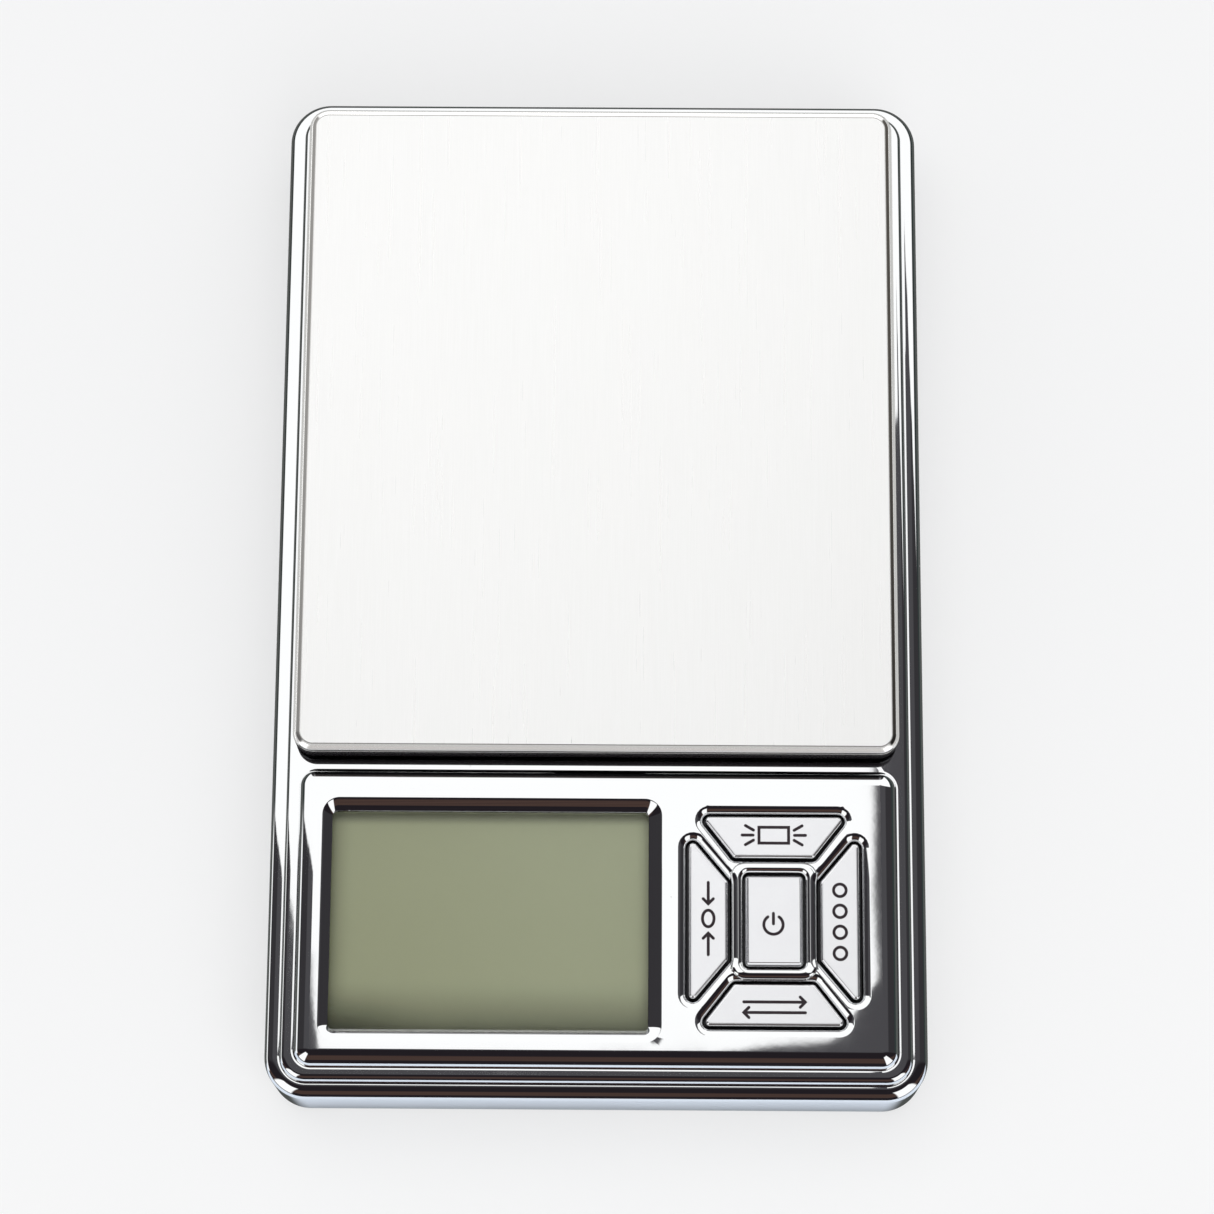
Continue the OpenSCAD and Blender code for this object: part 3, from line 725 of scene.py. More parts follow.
def common_finish(name, colour, roughness, metallic, grain, depth, mottle,
                  wear=0.0, specular=0.5, worn=None):
    """Moulded or machined finish: mottled colour, fine grain and worn edges."""
    material, shader = start_material(name)
    place = texture_place()
    clouds = noise(place, scale=0.12, detail=4)
    fine = noise(place, scale=grain, detail=4, roughness=0.6)
    dark = tuple(c * (1 - mottle) for c in colour)
    light = tuple(min(1, c * (1 + mottle)) for c in colour)
    base = mix(rise(clouds, 0.3, 0.7), dark, light)
    if wear:
        pointiness = Value(add_node("NewGeometry").outputs["Pointiness"])
        edge = rise(pointiness, 0.52, 0.6) * rise(noise(place, scale=1.6), 0.35, 0.65)
        worn = worn or tuple(min(1, c * 1.5 + 0.1) for c in colour)
        base = mix(edge * wear, base, worn)
    set_inputs(shader, {
        "Base Color": base,
        "Metallic": metallic,
        "Roughness": fine * (0.4 * roughness) + 0.8 * roughness,
        "Specular IOR Level": specular,
        "Normal": bump(fine, depth=depth, strength=0.6),
    })
    return material


def metal(colour, roughness):
    """Row of FINISHES for a bare metal, darker where it is worn."""
    return (colour, roughness, 1.0, 3.0, 0.004, 0.06, 0.3, 0.5, tuple(c * 0.6 for c in colour))


# colour, roughness, metallic, grain scale, grain depth (mm), mottle,
# then if need be: wear, specular level, worn colour
FINISHES = {
    "silver_abs": ((0.60, 0.61, 0.63), 0.38, 0.25, 3.5, 0.012, 0.05, 0.35),
    "rubber_black": ((0.022, 0.022, 0.024), 0.75, 0, 2.5, 0.03, 0.25, 0.4, 0.3, grey(0.09)),
    "steel_screw": metal((0.42, 0.42, 0.43), 0.32),
    "adhesive_foam": ((0.78, 0.76, 0.66), 0.8, 0, 1.8, 0.06, 0.08, 0, 0.2),
    "carrier_black": ((0.028, 0.028, 0.03), 0.5, 0, 3, 0.02, 0.2, 0.3),
    "cell_aluminium": metal((0.72, 0.73, 0.74), 0.36),
    "gauge_foil": ((0.66, 0.40, 0.12), 0.4, 0.4, 5, 0.01, 0.15),
    "sealant_white": ((0.85, 0.85, 0.82), 0.35, 0, 0.8, 0.12, 0.05),
    "white_abs": ((0.82, 0.82, 0.79), 0.42, 0, 3, 0.012, 0.04),
    "guide_clear": ((0.80, 0.86, 0.80), 0.15, 0, 2, 0.004, 0.03),
    "reflector_white": ((0.9, 0.9, 0.9), 0.3, 0, 2, 0.004, 0.03),
    "led_body": ((0.86, 0.80, 0.45), 0.3, 0, 4, 0.005, 0.1),
    "zebra_rubber": ((0.62, 0.30, 0.38), 0.6, 0, 5, 0.02, 0.25),
    "epoxy_black": ((0.012, 0.012, 0.014), 0.28, 0, 1.2, 0.03, 0.3),
    "can_steel": metal((0.70, 0.70, 0.69), 0.24),
    "capacitor_blue": ((0.02, 0.035, 0.14), 0.3, 0.1, 3, 0.01, 0.15),
    "silicone_grey": ((0.11, 0.11, 0.125), 0.62, 0, 3.5, 0.015, 0.12, 0, 0.35),
    "nickel_plate": metal((0.74, 0.72, 0.68), 0.22),
    "wire_pvc": ((0.55, 0.05, 0.04), 0.4, 0, 3, 0.008, 0.1),
}
MATERIALS = {build.__name__: build() for build in (
    plated_abs, brushed_stainless, key_silver, lcd_olive, window_clear, pcb_green,
    battery_jacket)}
for name, row in FINISHES.items():
    MATERIALS[name] = common_finish(name, *row)

# finish of each CAD node that the record gives no slot
NODES_BY_FINISH = {
    "plated_abs": "upper_housing",
    "silver_abs": "lower_housing battery_door",
    "rubber_black": "rubber_feet",
    "steel_screw": "case_screws carrier_screws base_screws overload_stop pcb_screws",
    "brushed_stainless": "platform_tray",
    "adhesive_foam": "platform_pads",
    "carrier_black": "platform_carrier",
    "can_steel": "platform_spacer base_spacer crystal",
    "cell_aluminium": "load_cell",
    "gauge_foil": "strain_gauges",
    "sealant_white": "gauge_sealant",
    "window_clear": "display_window",
    "lcd_olive": "lcd_panel",
    "white_abs": "lcd_frame cell_connector",
    "guide_clear": "backlight_guide",
    "reflector_white": "backlight_reflector",
    "led_body": "backlight_leds",
    "zebra_rubber": "zebra_strips",
    "pcb_green": "main_pcb",
    "epoxy_black": "controller_blob adc_chip chip_resistors",
    "capacitor_blue": "capacitors",
    "silicone_grey": "keypad_mat",
    "key_silver": "key_power key_light key_tare key_count key_mode",
    "battery_jacket": "battery_front battery_rear",
    "nickel_plate": "battery_springs battery_terminals battery_bridge",
    "wire_pvc": "battery_leads load_cell_cable",
}


def finish_cad_nodes():
    """Gives every CAD node the finish of its slot in the record, or of the table above."""
    # the record may hold its slots as a plain list or inside a dictionary
    listed = frame["record"].get("materials", [])
    slots = listed.get("slots", []) if isinstance(listed, dict) else listed
    slot_of = {}
    for slot in slots:
        for node in slot.get("nodes", []):
            slot_of[node] = slot.get("slot") or slot.get("name")
    own = {node: finish for finish, nodes in NODES_BY_FINISH.items() for node in nodes.split()}
    for name, node in frame["nodes"].items():
        finish = own.get(name, "white_abs")
        node.data.materials.clear()
        node.data.materials.append(MATERIALS.get(slot_of.get(name, finish), MATERIALS[finish]))


finish_cad_nodes()

# ---------------------------------------------------------------- plated upper housing
STEP_OFFSET = -1.84    # foot of the wall between ledge and shelf
SHELF_OFFSET = -3.2    # outer edge of the level shelf
INNER_OFFSET = -3.9    # inside face of the upper wall
DECK_ROUND = 2.0       # width of the crowned deck edge
DECK_FLAT = -DECK_ROUND - 0.03
DECK_FOOT = 0.22
LIP_OFFSET = 0.02      # lip of the display opening
RECESS_OFFSET = 1.4    # recess under the deck, round the display opening
RECESS_Z = DECK_Z - 2.0
BEVEL_WIDTH = 1.59
BEVEL_DEPTH = 1.3
BEVEL_TOP = 1.61       # offset of the bevel's upper edge


def outer_steps(mesh):
    """Outer wall up to the ledge, then the wall up to the shelf."""
    round_width, round_height = 1.52, 1.1
    start = LEDGE_Z - round_height
    profile = [(0, SPLIT_Z + 0.15, 1, 0), (0, start, 1, 0)]
    profile += quarter_ellipse(-round_width, start, round_width, round_height, 22)[1:]
    profile += [(STEP_OFFSET + 0.24, LEDGE_Z, 0, 1)]
    mesh.sweep(HOUSING, profile, HOUSING_STEPS, lean=0.024)
    mesh.foot(HOUSING, STEP_OFFSET + 0.24, STEP_OFFSET + FILLET, LEDGE_Z, HOUSING_STEPS)
    round_width, round_height = 0.85, 0.9
    profile = fillet(STEP_OFFSET, LEDGE_Z)
    profile += quarter_ellipse(STEP_OFFSET - round_width, SHELF_Z - round_height,
                               round_width, round_height, 18)
    profile += [(SHELF_OFFSET, SHELF_Z, 0, 1)]
    mesh.sweep(HOUSING, profile, HOUSING_STEPS, lean=0.017)


def deck_edge_and_shelf(mesh, post_hole):
    """Crowned deck edge, tangent to the deck, and the shelf round it."""
    profile = fillet(0, SHELF_Z)
    profile += quarter_ellipse(-DECK_ROUND, SHELF_Z + FILLET, DECK_ROUND,
                               DECK_Z - SHELF_Z - FILLET, 26)[1:]
    profile += [(DECK_FLAT, DECK_Z, 0, 1)]
    mesh.sweep(DECK, profile, DECK_STEPS)
    mesh.foot(DECK, DECK_FOOT, FILLET, SHELF_Z, DECK_STEPS)
    mesh.fill(outline(HOUSING, SHELF_OFFSET, HOUSING_STEPS)[0],
              [outline(DECK, DECK_FOOT, DECK_STEPS)[0], post_hole], level(SHELF_Z))


def bevel_outline(offset):
    """Display opening grown by offset, with its left side growing less."""
    shift = 0.22 * offset / BEVEL_TOP
    x, y, width, length, radius = WINDOW
    return outline((x + shift, y, width - 2 * shift, length, radius), offset, WINDOW_STEPS)


def display_opening(mesh):
    """Bevel with a soft upper edge, then the lip and the recess under the deck."""
    rows = 22
    points, normals = [], []
    for i in range(rows + 1):
        down = i / rows
        z = DECK_Z - BEVEL_DEPTH * (0.35 * down + 0.65 * down ** 1.8)
        # tilt of the shading in degrees, front and rear against left and right
        end_tilt = np.interp(down, [0, 0.05, 0.45, 0.9, 1], [0, 17, 31, 50, 62])
        side_tilt = np.interp(down, [0, 0.05, 0.9, 1], [0, 17, 34, 36])
        for point, (dx, dy) in zip(*bevel_outline(BEVEL_TOP - BEVEL_WIDTH * down)):
            sideways = dx ** 2
            tilt = math.radians(end_tilt * (1 - sideways) + side_tilt * sideways)
            forward = 0.025 * sideways * (dx > 0)
            points.append((*point, z))
            normals.append((-math.sin(tilt) * dx, -math.sin(tilt) * dy - forward, math.cos(tilt)))
    mesh.patch(points, normals, ring_faces(rows, len(points) // (rows + 1)))
    lip_z = RECESS_Z + 0.08
    # start and end as (offset, z), then the normal
    for start, end, normal in (
        ((LIP_OFFSET, DECK_Z - BEVEL_DEPTH), (LIP_OFFSET, lip_z), (-1, 0)),
        ((LIP_OFFSET, lip_z), (LIP_OFFSET, RECESS_Z), (-1, 0)),
        ((LIP_OFFSET, RECESS_Z), (RECESS_OFFSET, RECESS_Z), (0, -1)),
        ((RECESS_OFFSET, RECESS_Z), (RECESS_OFFSET, DECK_UNDER_Z), (1, 0)),
    ):
        mesh.strip(WINDOW, start, end, normal, WINDOW_STEPS)


def deck_surface(points):
    """Height and normals of the deck with its raised rim and rolled key wells."""
    z = np.full(len(points), DECK_Z)
    slope = np.zeros((len(points), 2))
    distance, away = quad_distance(points, RIM, RIM_RADIUS)
    width = RIM_OUTER - RIM_INNER
    along = np.clip((RIM_OUTER - distance) / width, 0, 1)
    arc = np.sqrt(np.maximum(1 - (1 - along) ** 2, 4e-3))
    z += RIM_HEIGHT * arc * (along > 0)
    climb = RIM_HEIGHT * (1 - along) / arc / width * ((along > 0) & (along < 1))
    slope -= climb[:, None] * away
    for name, corners in KEYS.items():
        width, depth = WELL_ROLLS[name]
        distance, away = quad_distance(points, corners, WELL_RADIUS)
        along = np.clip((width - distance) / width, 0, 0.9985)
        arc = np.sqrt(1 - along * along)
        z -= depth * (1 - arc)
        slope += (depth * along / (width * arc))[:, None] * away
    normals = np.column_stack([-slope[:, 0], -slope[:, 1], np.ones(len(points))])
    return z, normals / np.linalg.norm(normals, axis=1)[:, None]


def deck_points():
    """Points inside the deck: close round the wells and rim, a level grid elsewhere."""
    close = []
    for name, corners in KEYS.items():
        width = WELL_ROLLS[name][0]
        for angle in (84, 77, 69, 61, 53, 45, 37, 29, 21, 13, 6, 0):
            distance = width * (1 - math.sin(math.radians(angle)))
            close += grown_quad(corners, WELL_RADIUS + distance, 9, spacing=0.32)[0]
    for distance in (0.05, 0.03, 0.01, -0.01, -0.04, -0.08, -0.13, -0.19, -0.26, -0.33,
                     -0.37, -0.45):
        close += grown_quad(RIM, RIM_RADIUS + distance, 12, spacing=0.35)[0]
    close = np.array(close)
    keep = np.ones(len(close), bool)
    for corners in KEYS.values():
        keep &= quad_distance(close, corners, WELL_RADIUS)[0] > 0.004
    close = close[keep]
    # drop points that all but coincide
    _, first = np.unique(np.round(close / 0.03).astype(int), axis=0, return_index=True)
    close = close[np.sort(first)]
    # the level grid keeps the triangles short
    pitch = 0.9
    grid_x, grid_y = np.meshgrid(np.arange(-33.0, 33.1, pitch),
                                 np.arange(DECK[1] - 15.4, DECK[1] + 15.5, pitch))
    grid = np.column_stack([grid_x.ravel(), grid_y.ravel()])
    window_x, window_y, width, length, _ = WINDOW
    keep = (np.abs(grid[:, 0] - window_x) > width / 2 + 1.9) \
        | (np.abs(grid[:, 1] - window_y) > length / 2 + 1.9)
    for name, corners in KEYS.items():
        keep &= quad_distance(grid, corners, WELL_RADIUS)[0] > WELL_ROLLS[name][0] + 0.08
    keep &= quad_distance(grid, RIM, RIM_RADIUS)[0] > 0.12
    return np.vstack([close, grid[keep]])


def key_openings(mesh):
    """Walls of the key wells down to the underside of the deck."""
    for corners in KEYS.values():
        loop, directions = well_outline(corners)
        heights, _ = deck_surface(np.array(loop))
        points, normals, faces = [], [], []
        for i, ((x, y), (dx, dy), z) in enumerate(zip(loop, directions, heights)):
            following = (i + 1) % len(loop)
            points += [(x, y, z), (x, y, DECK_UNDER_Z)]
            normals += [(-dx, -dy, 0)] * 2
            faces.append((2 * i, 2 * following, 2 * following + 1, 2 * i + 1))
        mesh.patch(points, normals, faces)


def underside(mesh, wells, post_hole):
    """Underside of the deck and shelf, the inner walls and the lower edge."""
    deck_inner, _ = outline(DECK_INNER, 0, INNER_STEPS)
    recess, _ = outline(WINDOW, RECESS_OFFSET, WINDOW_STEPS)
    upper_inner, _ = outline(HOUSING, INNER_OFFSET, INNER_STEPS)
    lower_inner, _ = outline(HOUSING, -2, INNER_STEPS)
    edge, _ = outline(HOUSING, -0.15, HOUSING_STEPS)
    inward = (-1, 0)
    mesh.fill(deck_inner, [recess] + wells, level(DECK_UNDER_Z, up=-1))
    mesh.strip(DECK_INNER, (0, DECK_UNDER_Z), (0, SHELF_UNDER_Z), inward, INNER_STEPS)
    mesh.fill(upper_inner, [deck_inner, post_hole], level(SHELF_UNDER_Z, up=-1))
    mesh.strip(POST_HOLE, (0, SHELF_Z), (0, SHELF_UNDER_Z), inward, POST_STEPS)
    mesh.strip(HOUSING, (INNER_OFFSET, SHELF_UNDER_Z), (INNER_OFFSET, INNER_LIP_Z), inward,
               INNER_STEPS)
    mesh.fill(lower_inner, [upper_inner], level(INNER_LIP_Z, up=-1))
    mesh.strip(HOUSING, (-2, INNER_LIP_Z), (-2, SPLIT_Z), inward, INNER_STEPS)
    mesh.fill(edge, [lower_inner], level(SPLIT_Z, up=-1))
    mesh.sweep(HOUSING, [(-0.15, SPLIT_Z, 0.5, -0.86), (0, SPLIT_Z + 0.15, 0.86, -0.5)],
               HOUSING_STEPS)


def bosses(mesh):
    """Screw bosses in pairs, and the board posts."""
    for x, y, radius in ((35.2, -59.2, 2.2), (34.4, 8, 2.4), (34, 56.8, 2.4)):
        for side in (1, -1):
            mesh.tube(side * x, y, SPLIT_Z + 0.3, 11.3, radius, bore=1.03)
    for x, y, radius, ceiling in (
        (-30.5, -23.6, 1.7, SHELF_UNDER_Z), (9.4, -23.6, 1.7, SHELF_UNDER_Z),
        (31, -23.6, 1.7, SHELF_UNDER_Z), (9.7, -56.2, 1.3, DECK_UNDER_Z),
    ):
        mesh.tube(x, y, 8.7, ceiling + 0.05, radius, bore=0.73)


def make_shell():
    mesh = Mesh()
    post_hole, _ = outline(POST_HOLE, 0, POST_STEPS)
    wells = [well_outline(corners)[0] for corners in KEYS.values()]
    outer_steps(mesh)
    deck_edge_and_shelf(mesh, post_hole)
    display_opening(mesh)
    mesh.fill(outline(DECK, DECK_FLAT, DECK_STEPS)[0], [bevel_outline(BEVEL_TOP)[0]] + wells,
              deck_surface, deck_points())
    key_openings(mesh)
    underside(mesh, wells, post_hole)
    bosses(mesh)
    mesh.make("plated_upper_shell", "plated_abs", "case", replaces="upper_housing")


make_shell()


# ---------------------------------------------------------------- brushed tray
def make_tray():
    """Sheet tray with a rolled rim and a turned-in lower edge."""
    mesh = Mesh()
    roll_width, roll_height, sheet = 1.0, 0.75, 0.6
    bottom = TRAY_Z - 3.0
    under = TRAY_Z - sheet
    roll_start = TRAY_Z - roll_height
    flat = -roll_width - 0.03
    profile = [(-0.12, bottom, 0.3, -0.95), (-0.04, bottom + 0.03, 0.75, -0.66),
               (0, bottom + 0.12, 1, 0), (0, roll_start, 1, 0)]
    profile += quarter_ellipse(-roll_width, roll_start, roll_width, roll_height, 18)[1:]
    profile += [(flat, TRAY_Z, 0, 1)]
    mesh.sweep(TRAY, profile, DECK_STEPS)
    mesh.fill(outline(TRAY, flat, DECK_STEPS)[0], [], level(TRAY_Z))
    # lower edge, inner wall and underside
    mesh.strip(TRAY, (-0.12, bottom), (-sheet + 0.1, bottom), (0, -1), DECK_STEPS)
    mesh.sweep(TRAY, [
        (-sheet + 0.1, bottom, -0.5, -0.86), (-sheet, bottom + 0.1, -1, 0),
        (-sheet, under - 0.25, -1, 0), (-sheet - 0.07, under - 0.07, -0.7, -0.7),
        (-sheet - 0.25, under, 0, -1),
    ], DECK_STEPS)
    mesh.fill(outline(TRAY, -sheet - 0.25, DECK_STEPS)[0], [], level(under, up=-1))
    mesh.make("brushed_tray", "brushed_stainless", "platform", replaces="platform_tray")


make_tray()

# ---------------------------------------------------------------- keys
KEY_BOTTOM = 13.7
FLANGE_Z = 14.6
FLANGE = 0.55
FLANGE_CHAMFER = 0.08


def make_key(name):
    """Key cap with a hidden flange below the deck and a round stem."""
    mesh = Mesh()
    corners, top = KEYS[name], KEY_TOPS[name]

    def loop(offset):
        return grown_quad(corners, KEY_RADIUS + offset, KEY_STEPS)

    def loft(rows):
        mesh.loft([(*loop(row[0]), *row[1:]) for row in rows])

    side = [(0.0, FLANGE_Z, 1, 0)]
    if name == "power":
        # flat raised face with steep bevelled sides
        side += [(0.0, top - 0.78, 1, 0), (-0.03, top - 0.68, 0.93, 0.37),
                 (-0.07, top - 0.62, 0.80, 0.60), (-0.38, top - 0.12, 0.80, 0.60),
                 (-0.42, top - 0.05, 0.6, 0.8), (-0.45, top - 0.012, 0.3, 0.95),
                 (-0.47, top, 0, 1)]
        face = -0.47
    else:
        round_width, round_height = 0.36, 0.34
        side += quarter_ellipse(-round_width, top - round_height, round_width, round_height, 8)
        face = -round_width
    loft(side)
    mesh.cap(loop(face)[0], top, 1, tilt=(-0.02, 0.05))
    # flange that keeps the key in the housing
    rim = FLANGE - FLANGE_CHAMFER
    loft([(0.0, FLANGE_Z, 0, 1), (rim, FLANGE_Z, 0, 1)])
    loft([(rim, FLANGE_Z, 0.5, 0.86), (FLANGE, FLANGE_Z - FLANGE_CHAMFER, 1, 0),
          (FLANGE, KEY_BOTTOM + FLANGE_CHAMFER, 1, 0), (rim, KEY_BOTTOM, 0.5, -0.86)])
    mesh.cap(loop(rim)[0], KEY_BOTTOM, -1)
    mesh.tube(*(PAD + STEMS[name]), 10.9, KEY_BOTTOM + 0.05, radius=1.5)
    mesh.make("key_cap_" + name, "key_silver", name + "_button", replaces="key_" + name)


for name in KEYS:
    make_key(name)


# ---------------------------------------------------------------- printed symbols
def legend_ink():
    material, shader = start_material("legend_ink")
    speckle = noise(texture_place(), scale=6.0)
    set_inputs(shader, {
        "Base Color": mix(speckle, (0.012, 0.006, 0.009), (0.026, 0.014, 0.019)),
        "Roughness": 0.45 + 0.2 * speckle,
        "Normal": bump(speckle, depth=0.003, strength=0.5),
    })
    return material


INK = legend_ink()
LINE_WIDTH = 0.35
INK_HEIGHT = 0.02
HEAD_SIZE = 0.6
PAD_X, PAD_Y = PAD


def line_sides(points, closed):
    """Points half a line width to the left and to the right of a path."""
    left, right = [], []
    count = len(points)
    for i, point in enumerate(points):
        arriving = point - points[i - 1]
        leaving = points[(i + 1) % count] - point
        if not closed and i == 0:
            arriving = leaving
        if not closed and i == count - 1:
            leaving = arriving
        arriving, leaving = unit(arriving), unit(leaving)
        normal = unit(np.array([-arriving[1] - leaving[1], arriving[0] + leaving[0]]))
        mitre = max(0.5, normal @ np.array([-arriving[1], arriving[0]]))
        left.append(point + normal * LINE_WIDTH / 2 / mitre)
        right.append(point - normal * LINE_WIDTH / 2 / mitre)
    return left, right


def rounded_end(tip, before):
    """Points round the end of a line that arrives from before."""
    step = tip - before
    angles = [math.atan2(step[1], step[0]) + math.pi / 2 - math.pi * k / 6 for k in range(1, 6)]
    return [tip + LINE_WIDTH / 2 * np.array([math.cos(a), math.sin(a)]) for a in angles]


def stroke(mesh, points, z, closed=False):
    """A printed line with rounded ends, or a closed one round an anticlockwise path."""
    points = [np.array(point, float) for point in points]
    left, right = line_sides(points, closed)
    levels = (z, z + INK_HEIGHT)
    if closed:
        count = len(points)
        faces = ring_faces(1, count)
        for height, up in ((z + INK_HEIGHT, 1), (z, -1)):
            ring_points = [(x, y, height) for x, y in left + right]
            mesh.patch(ring_points, [(0, 0, up)] * len(ring_points), faces)
        centre = sum(points) / count
        for side, sign in ((left, -1), (right, 1)):
            normals = [(*((point - centre) * sign), 0) for point in side] * 2
            mesh.patch([(x, y, height) for height in levels for x, y in side], normals, faces)
        return
    loop = left + rounded_end(points[-1], points[-2])
    loop += right[::-1] + rounded_end(points[0], points[1])
    mesh.fill(loop, [], level(z + INK_HEIGHT))
    mesh.fill(loop, [], level(z, up=-1))
    count = len(loop)
    normals = []
    for i in range(count):
        dx, dy = loop[(i + 1) % count] - loop[i - 1]
        normals.append((-dy, dx, 0))
    mesh.patch([(x, y, height) for height in levels for x, y in loop], normals * 2,
               ring_faces(1, count))


def oval(x, y, radius_x, radius_y):
    angles = [math.radians(360 * i / 36) for i in range(36)]
    return [(x + radius_x * math.cos(a), y + radius_y * math.sin(a)) for a in angles]


def arrow(mesh, start, tip, z):
    start, tip = np.array(start), np.array(tip)
    along = unit(tip - start)
    across = np.array([-along[1], along[0]])
    back = tip - HEAD_SIZE * along
    stroke(mesh, [start, tip - along * 0.2], z)
    stroke(mesh, [back + HEAD_SIZE * across, tip, back - HEAD_SIZE * across], z + 0.004)


def draw_power(mesh, z):
    """An open circle with an upright line."""
    x, y = PAD_X - 0.1, PAD_Y - 0.55
    angles = [math.radians(125 + (415 - 125) * i / 40) for i in range(41)]
    stroke(mesh, [(x + 1.13 * math.cos(a), y + 1.13 * math.sin(a)) for a in angles], z)
    stroke(mesh, [(x, y + 0.1), (x, y + 1.35)], z)


def draw_light(mesh, z):
    """A small lit screen with rays to both sides."""
    x, y = PAD_X, PAD_Y + 10.2
    half_width, half_height = 1.75, 0.95
    stroke(mesh, [(x - half_width, y - half_height), (x + half_width, y - half_height),
                  (x + half_width, y + half_height), (x - half_width, y + half_height)],
           z, closed=True)
    for side in (-1, 1):
        # each ray: distance out and height at its start, then at its end
        for x0, y0, x1, y1 in ((2.45, 0, 3.75, 0), (2.4, 0.6, 3.35, 1.15),
                               (2.4, -0.6, 3.35, -1.15)):
            stroke(mesh, [(x + side * x0, y + y0), (x + side * x1, y + y1)], z)


def draw_mode(mesh, z):
    """Two arrows passing each other."""
    x, y = PAD_X, PAD_Y - 10.25
    for side in (1, -1):
        height = y + side * 0.62
        arrow(mesh, (x - side * 3.6, height), (x + side * 3.6, height), z)


def draw_tare(mesh, z):
    """Arrows from both ends towards a nought."""
    x, y = PAD_X - 7.75, PAD_Y + 0.2
    stroke(mesh, oval(x, y, 0.68, 0.98), z, closed=True)
    for side in (1, -1):
        arrow(mesh, (x, y + side * 4.3), (x, y + side * 1.75), z)


def draw_count(mesh, z):
    """A row of small round pieces."""
    x, y = PAD_X + 7.75, PAD_Y - 0.1
    for i in range(4):
        stroke(mesh, oval(x, y + 3.75 - 2.5 * i, 0.74, 0.74), z, closed=True)


for name, draw in (("power", draw_power), ("light", draw_light), ("mode", draw_mode),
                   ("tare", draw_tare), ("count", draw_count)):
    legend = Mesh()
    draw(legend, KEY_TOPS[name] + 0.001)
    legend.make("legend_" + name, "key_silver", name + "_button", material=INK)


# ---------------------------------------------------------------- keypad mat
def make_keypad():
    """Base sheet, and a dome under each key."""
    low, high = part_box("keypad_mat")
    plan = box_plan("keypad_mat", radius=1.5)
    bottom = low.z / MM
    sheet_top = bottom + 0.8
    dome_top = high.z / MM
    steps = 6
    sheet = Mesh()
    sheet.sweep(plan, [
        (-0.1, bottom, 0, -1), (0, bottom + 0.1, 1, 0), (0, sheet_top - 0.15, 1, 0),
        (-0.05, sheet_top - 0.05, 0.7, 0.7), (-0.15, sheet_top, 0, 1),
    ], steps)
    sheet.cap(outline(plan, -0.1, steps)[0], bottom, -1)
    sheet.fill(outline(plan, -0.15, steps)[0], [], level(sheet_top))
    sheet.make("keypad_sheet", "silicone_grey", "case", replaces="keypad_mat")

    base = sheet_top - 0.1
    base_radius, top_radius = 1.9, 1.35
    # radius, z, outward part and upward part of the normal
    profile = [
        (base_radius, base, 1, 0), (base_radius, sheet_top + 0.15, 0.9, 0.43),
        (1.72, sheet_top + 0.6, 0.9, 0.43), (1.6, dome_top - 0.25, 0.95, 0.3),
        (1.52, dome_top - 0.08, 0.7, 0.7), (top_radius, dome_top, 0, 1),
    ]
    for name, (dx, dy) in STEMS.items():
        x, y = plan[0] + dx, plan[1] + dy
        dome = Mesh()
        dome.loft([(*ring(x, y, row[0], 32), *row[1:]) for row in profile])
        dome.cap(ring(x, y, top_radius, 32)[0], dome_top, 1)
        dome.cap(ring(x, y, base_radius, 32)[0], base, -1)
        made = dome.make("keypad_dome_" + name, "silicone_grey", "case")
        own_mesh(made)


make_keypad()

# ---------------------------------------------------------------- load cell and gauges
# they are cut across between these two places along Y, so that they can bend with the platform
BEND_START, BEND_END, BEND_PIECES = -4, 16, 12


def make_bender(node, name):
    """Copy of a CAD node, cut across so that it can bend."""
    data = frame["nodes"][node].data.copy()
    data.name = name
    made = bpy.data.objects.new(name, data)
    bpy.context.scene.collection.objects.link(made)
    cutter = bmesh.new()
    cutter.from_mesh(data)
    for i in range(BEND_PIECES + 1):
        y = BEND_START + (BEND_END - BEND_START) * i / BEND_PIECES
        bmesh.ops.bisect_plane(cutter, geom=cutter.verts[:] + cutter.edges[:] + cutter.faces[:],
                               plane_co=(0, y * MM, 0), plane_no=(0, 1, 0))
    cutter.to_mesh(data)
    cutter.free()
    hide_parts(node)
    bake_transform(made)


make_bender("load_cell", "bending_beam")
make_bender("strain_gauges", "gauge_foils")
make_bender("gauge_sealant", "gauge_coating")


# ---------------------------------------------------------------- floor
def floor_paper():
    """Pale paper that reflections see as dark, and as bluish white in front of the scale."""
    material, shader = start_material("floor_paper")
    place = texture_place()
    clouds = noise(place, scale=0.004)
    reflected = Value(add_node("LightPath").outputs["Is Glossy Ray"])
    y = split(add_node("NewGeometry").outputs["Position"], "Y")[0] * 1000
    front = 1 - rise(y, -63.8, -61.8)
    paper = mix(clouds, (0.435, 0.434, 0.434), (0.455, 0.454, 0.454))
    in_reflections = mix(front, (0.095, 0.10, 0.095), (0.75, 0.81, 0.90))
    set_inputs(shader, {
        "Base Color": mix(reflected, paper, in_reflections),
        "Roughness": 0.85,
        "Specular IOR Level": 0.0,
        "Normal": bump(noise(place, scale=1.2), depth=0.003, strength=0.3),
        "Emission Color": mix(reflected, grey(0.9), grey(0.0)),
        "Emission Strength": 0.535,
    })
    return material


bpy.ops.mesh.primitive_plane_add(size=6, location=(0, 0, 0))
floor = bpy.context.object
floor.name = "floor"
floor.data.materials.append(floor_paper())


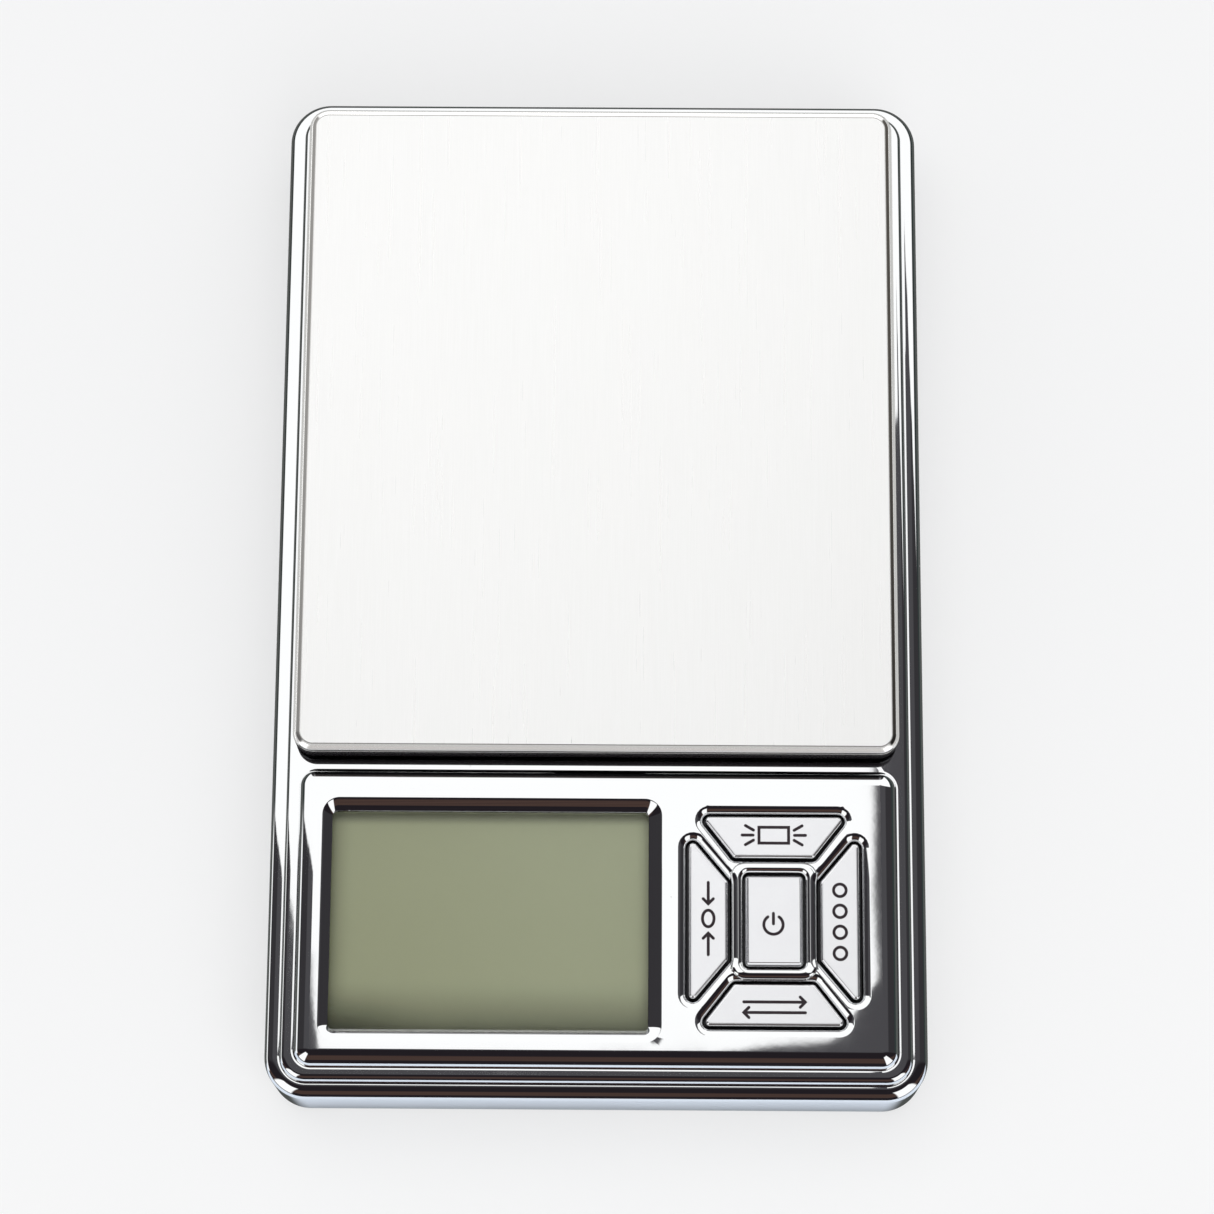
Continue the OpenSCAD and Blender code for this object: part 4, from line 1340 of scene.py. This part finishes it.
# ---------------------------------------------------------------- light
def softboxes(x, y, z, sideways, around, height, waver):
    """White panels that the plating mirrors: 1 inside them, 0 outside."""
    # overhead panel, reaching down to the left and the rear; its front edge drops in
    # small steps to both sides
    right_edge = 4.0 + 2.2 * rise(y, 0.245, 0.325)
    left_drop = 0.0265 * (1 - rise(sideways, -4.82, -4.64)) \
        + 0.021 * (1 - rise(sideways, -5.35, -4.85)) \
        + 0.00022 * maximum(-5.5 - sideways, 0.0)
    front_edge = 0.1325 + 0.0038 * rise(sideways, 0.9, 3.4) \
        + 0.017 * rise(sideways, 3.2, 4.15) + left_drop
    overhead = (1 - rise(sideways - right_edge + 0.35 * waver, -0.06, 0.06)) \
        * rise(sideways, -73, -71) * rise(y - front_edge + 0.003 * waver, -0.0008, 0.0008)
    # the panel goes on to the right at the rear
    rear_edge = 0.302 - 0.0012 * maximum(sideways - 5, 0.0)
    rear = rise(y - rear_edge + 0.02 * waver, -0.004, 0.004) \
        * rise(sideways, 3.5, 4.5) * (1 - rise(sideways, 65, 67))
    # low strip on the left
    low_left = band(sideways, -93, -78, soft=1.5) * rise(y, -0.25, -0.2) \
        * (1 - rise(y, 0.185, 0.2))
    panels = minimum(maximum(maximum(overhead, rear), low_left), 1.0)
    # two strip lights at the front corners
    front_left = band(around, -152, -118, soft=2.0) * band(height, 8, 66, soft=2.0)
    front_right = band(around, -66, -32, soft=2.0) * band(height, 8, 66, soft=2.0)
    return minimum(maximum(panels, maximum(front_left, front_right)), 1.0)


def dark_room(y, z, sideways, forward, height):
    """The dark room round the panels, with a streaky brown strip towards the front."""
    brown = band(forward, 30, 60, soft=2.0) * rise(0 - y, 0.05, 0.15)
    streak = 0.55 + 0.45 * rise(compute("SINE", forward * 0.9), -0.2, 0.4)
    front = rise(0 - y, -0.12, 0.0)
    colour = mix(front, (0.070, 0.068, 0.074), (0.016, 0.013, 0.016))
    # greenish near the horizon at the rear
    colour = mix(rise(height, 24, 6) * (1 - front), colour, (0.03, 0.045, 0.042))
    # reddish low on the left
    colour = mix(band(sideways, -125, -88, soft=2.0) * rise(z, -0.6, -0.5), colour,
                 (0.045, 0.020, 0.022))
    # darker far out to both sides at the rear
    far = rise(compute("ABSOLUTE", sideways), 28, 36)
    colour = mix(far * (1 - front) * 0.6 * rise(height, 6, 20), colour, (0.012, 0.010, 0.012))
    return mix(brown * streak, colour, (0.078, 0.047, 0.038))


def build_world():
    """Even light on everything, but a drawn studio in reflections."""
    world = bpy.data.worlds.new("studio")
    bpy.context.scene.world = world
    world.use_nodes = True
    Value.tree = world.node_tree
    Value.tree.nodes.clear()
    direction = add_node("TexCoord").outputs["Generated"]
    x, y, z = split(direction, "XYZ")
    # angles in degrees: lean to the right, lean to the front, compass, above the horizon
    degrees = 180 / math.pi
    sideways = compute("ARCTAN2", x, z) * degrees
    forward = compute("ARCTAN2", 0 - y, z) * degrees
    around = compute("ARCTAN2", y, x) * degrees
    height = compute("ARCSINE", z) * degrees
    waver = noise(direction, scale=9.0, detail=2.0) - 0.5
    white = softboxes(x, y, z, sideways, around, height, waver)
    studio = mix(white, dark_room(y, z, sideways, forward, height), grey(1.06))
    even = add_node("Background", {0: (0.97, 0.985, 1.0), 1: 0.67})
    mirrored = add_node("Background", {0: studio})
    reflected = add_node("LightPath").outputs["Is Glossy Ray"]
    mixed = add_node("MixShader", enumerate((reflected, even.outputs[0], mirrored.outputs[0])))
    add_node("OutputWorld", {0: mixed.outputs[0]})


def add_softbox(name, location, size, power):
    """Square area light aimed at the origin, in metres and watts, unseen in reflections."""
    light = bpy.data.lights.new(name, "AREA")
    light.shape = "SQUARE"
    light.size = size
    light.energy = power
    made = bpy.data.objects.new(name, light)
    bpy.context.scene.collection.objects.link(made)
    made.location = location
    made.rotation_euler = (-Vector(location)).to_track_quat("-Z", "Y").to_euler()
    made.visible_glossy = False


build_world()
add_softbox("softbox_front", location=(0.35, -0.75, 1.0), size=0.9, power=4.8)
add_softbox("softbox_top", location=(-0.2, 0.25, 1.2), size=1.0, power=3.0)

# ---------------------------------------------------------------- camera
CAMERA_PLACE = (2.730, -115.314, 448.581)
CAMERA_PITCH = math.radians(75.5)    # below the horizon
CAMERA_YAW = math.radians(0.9148)
CAMERA_ROLL = math.radians(-0.5526)


def add_camera():
    """Looks down and to the rear from above the front of the scale."""
    forward = Vector((0, math.cos(CAMERA_PITCH), -math.sin(CAMERA_PITCH)))
    right = Vector((1, 0, 0))
    up = right.cross(forward)
    yaw = Matrix.Rotation(CAMERA_YAW, 3, "Z")
    forward, right, up = yaw @ forward, yaw @ right, yaw @ up
    cosine, sine = math.cos(CAMERA_ROLL), math.sin(CAMERA_ROLL)
    axes = Matrix((cosine * right + sine * up, -sine * right + cosine * up, -forward))
    camera = bpy.data.cameras.new("camera")
    camera.lens = 110.253707
    camera.sensor_width = 36
    camera.clip_start = 0.01
    made = bpy.data.objects.new("camera", camera)
    bpy.context.scene.collection.objects.link(made)
    matrix = axes.transposed().to_4x4()
    matrix.translation = [c * MM for c in CAMERA_PLACE]
    made.matrix_world = matrix
    bpy.context.scene.camera = made


add_camera()
view = bpy.context.scene.view_settings
view.view_transform = "Standard"
view.look = "None"
view.exposure = 0.0

# ---------------------------------------------------------------- update
bpy.context.view_layer.update()
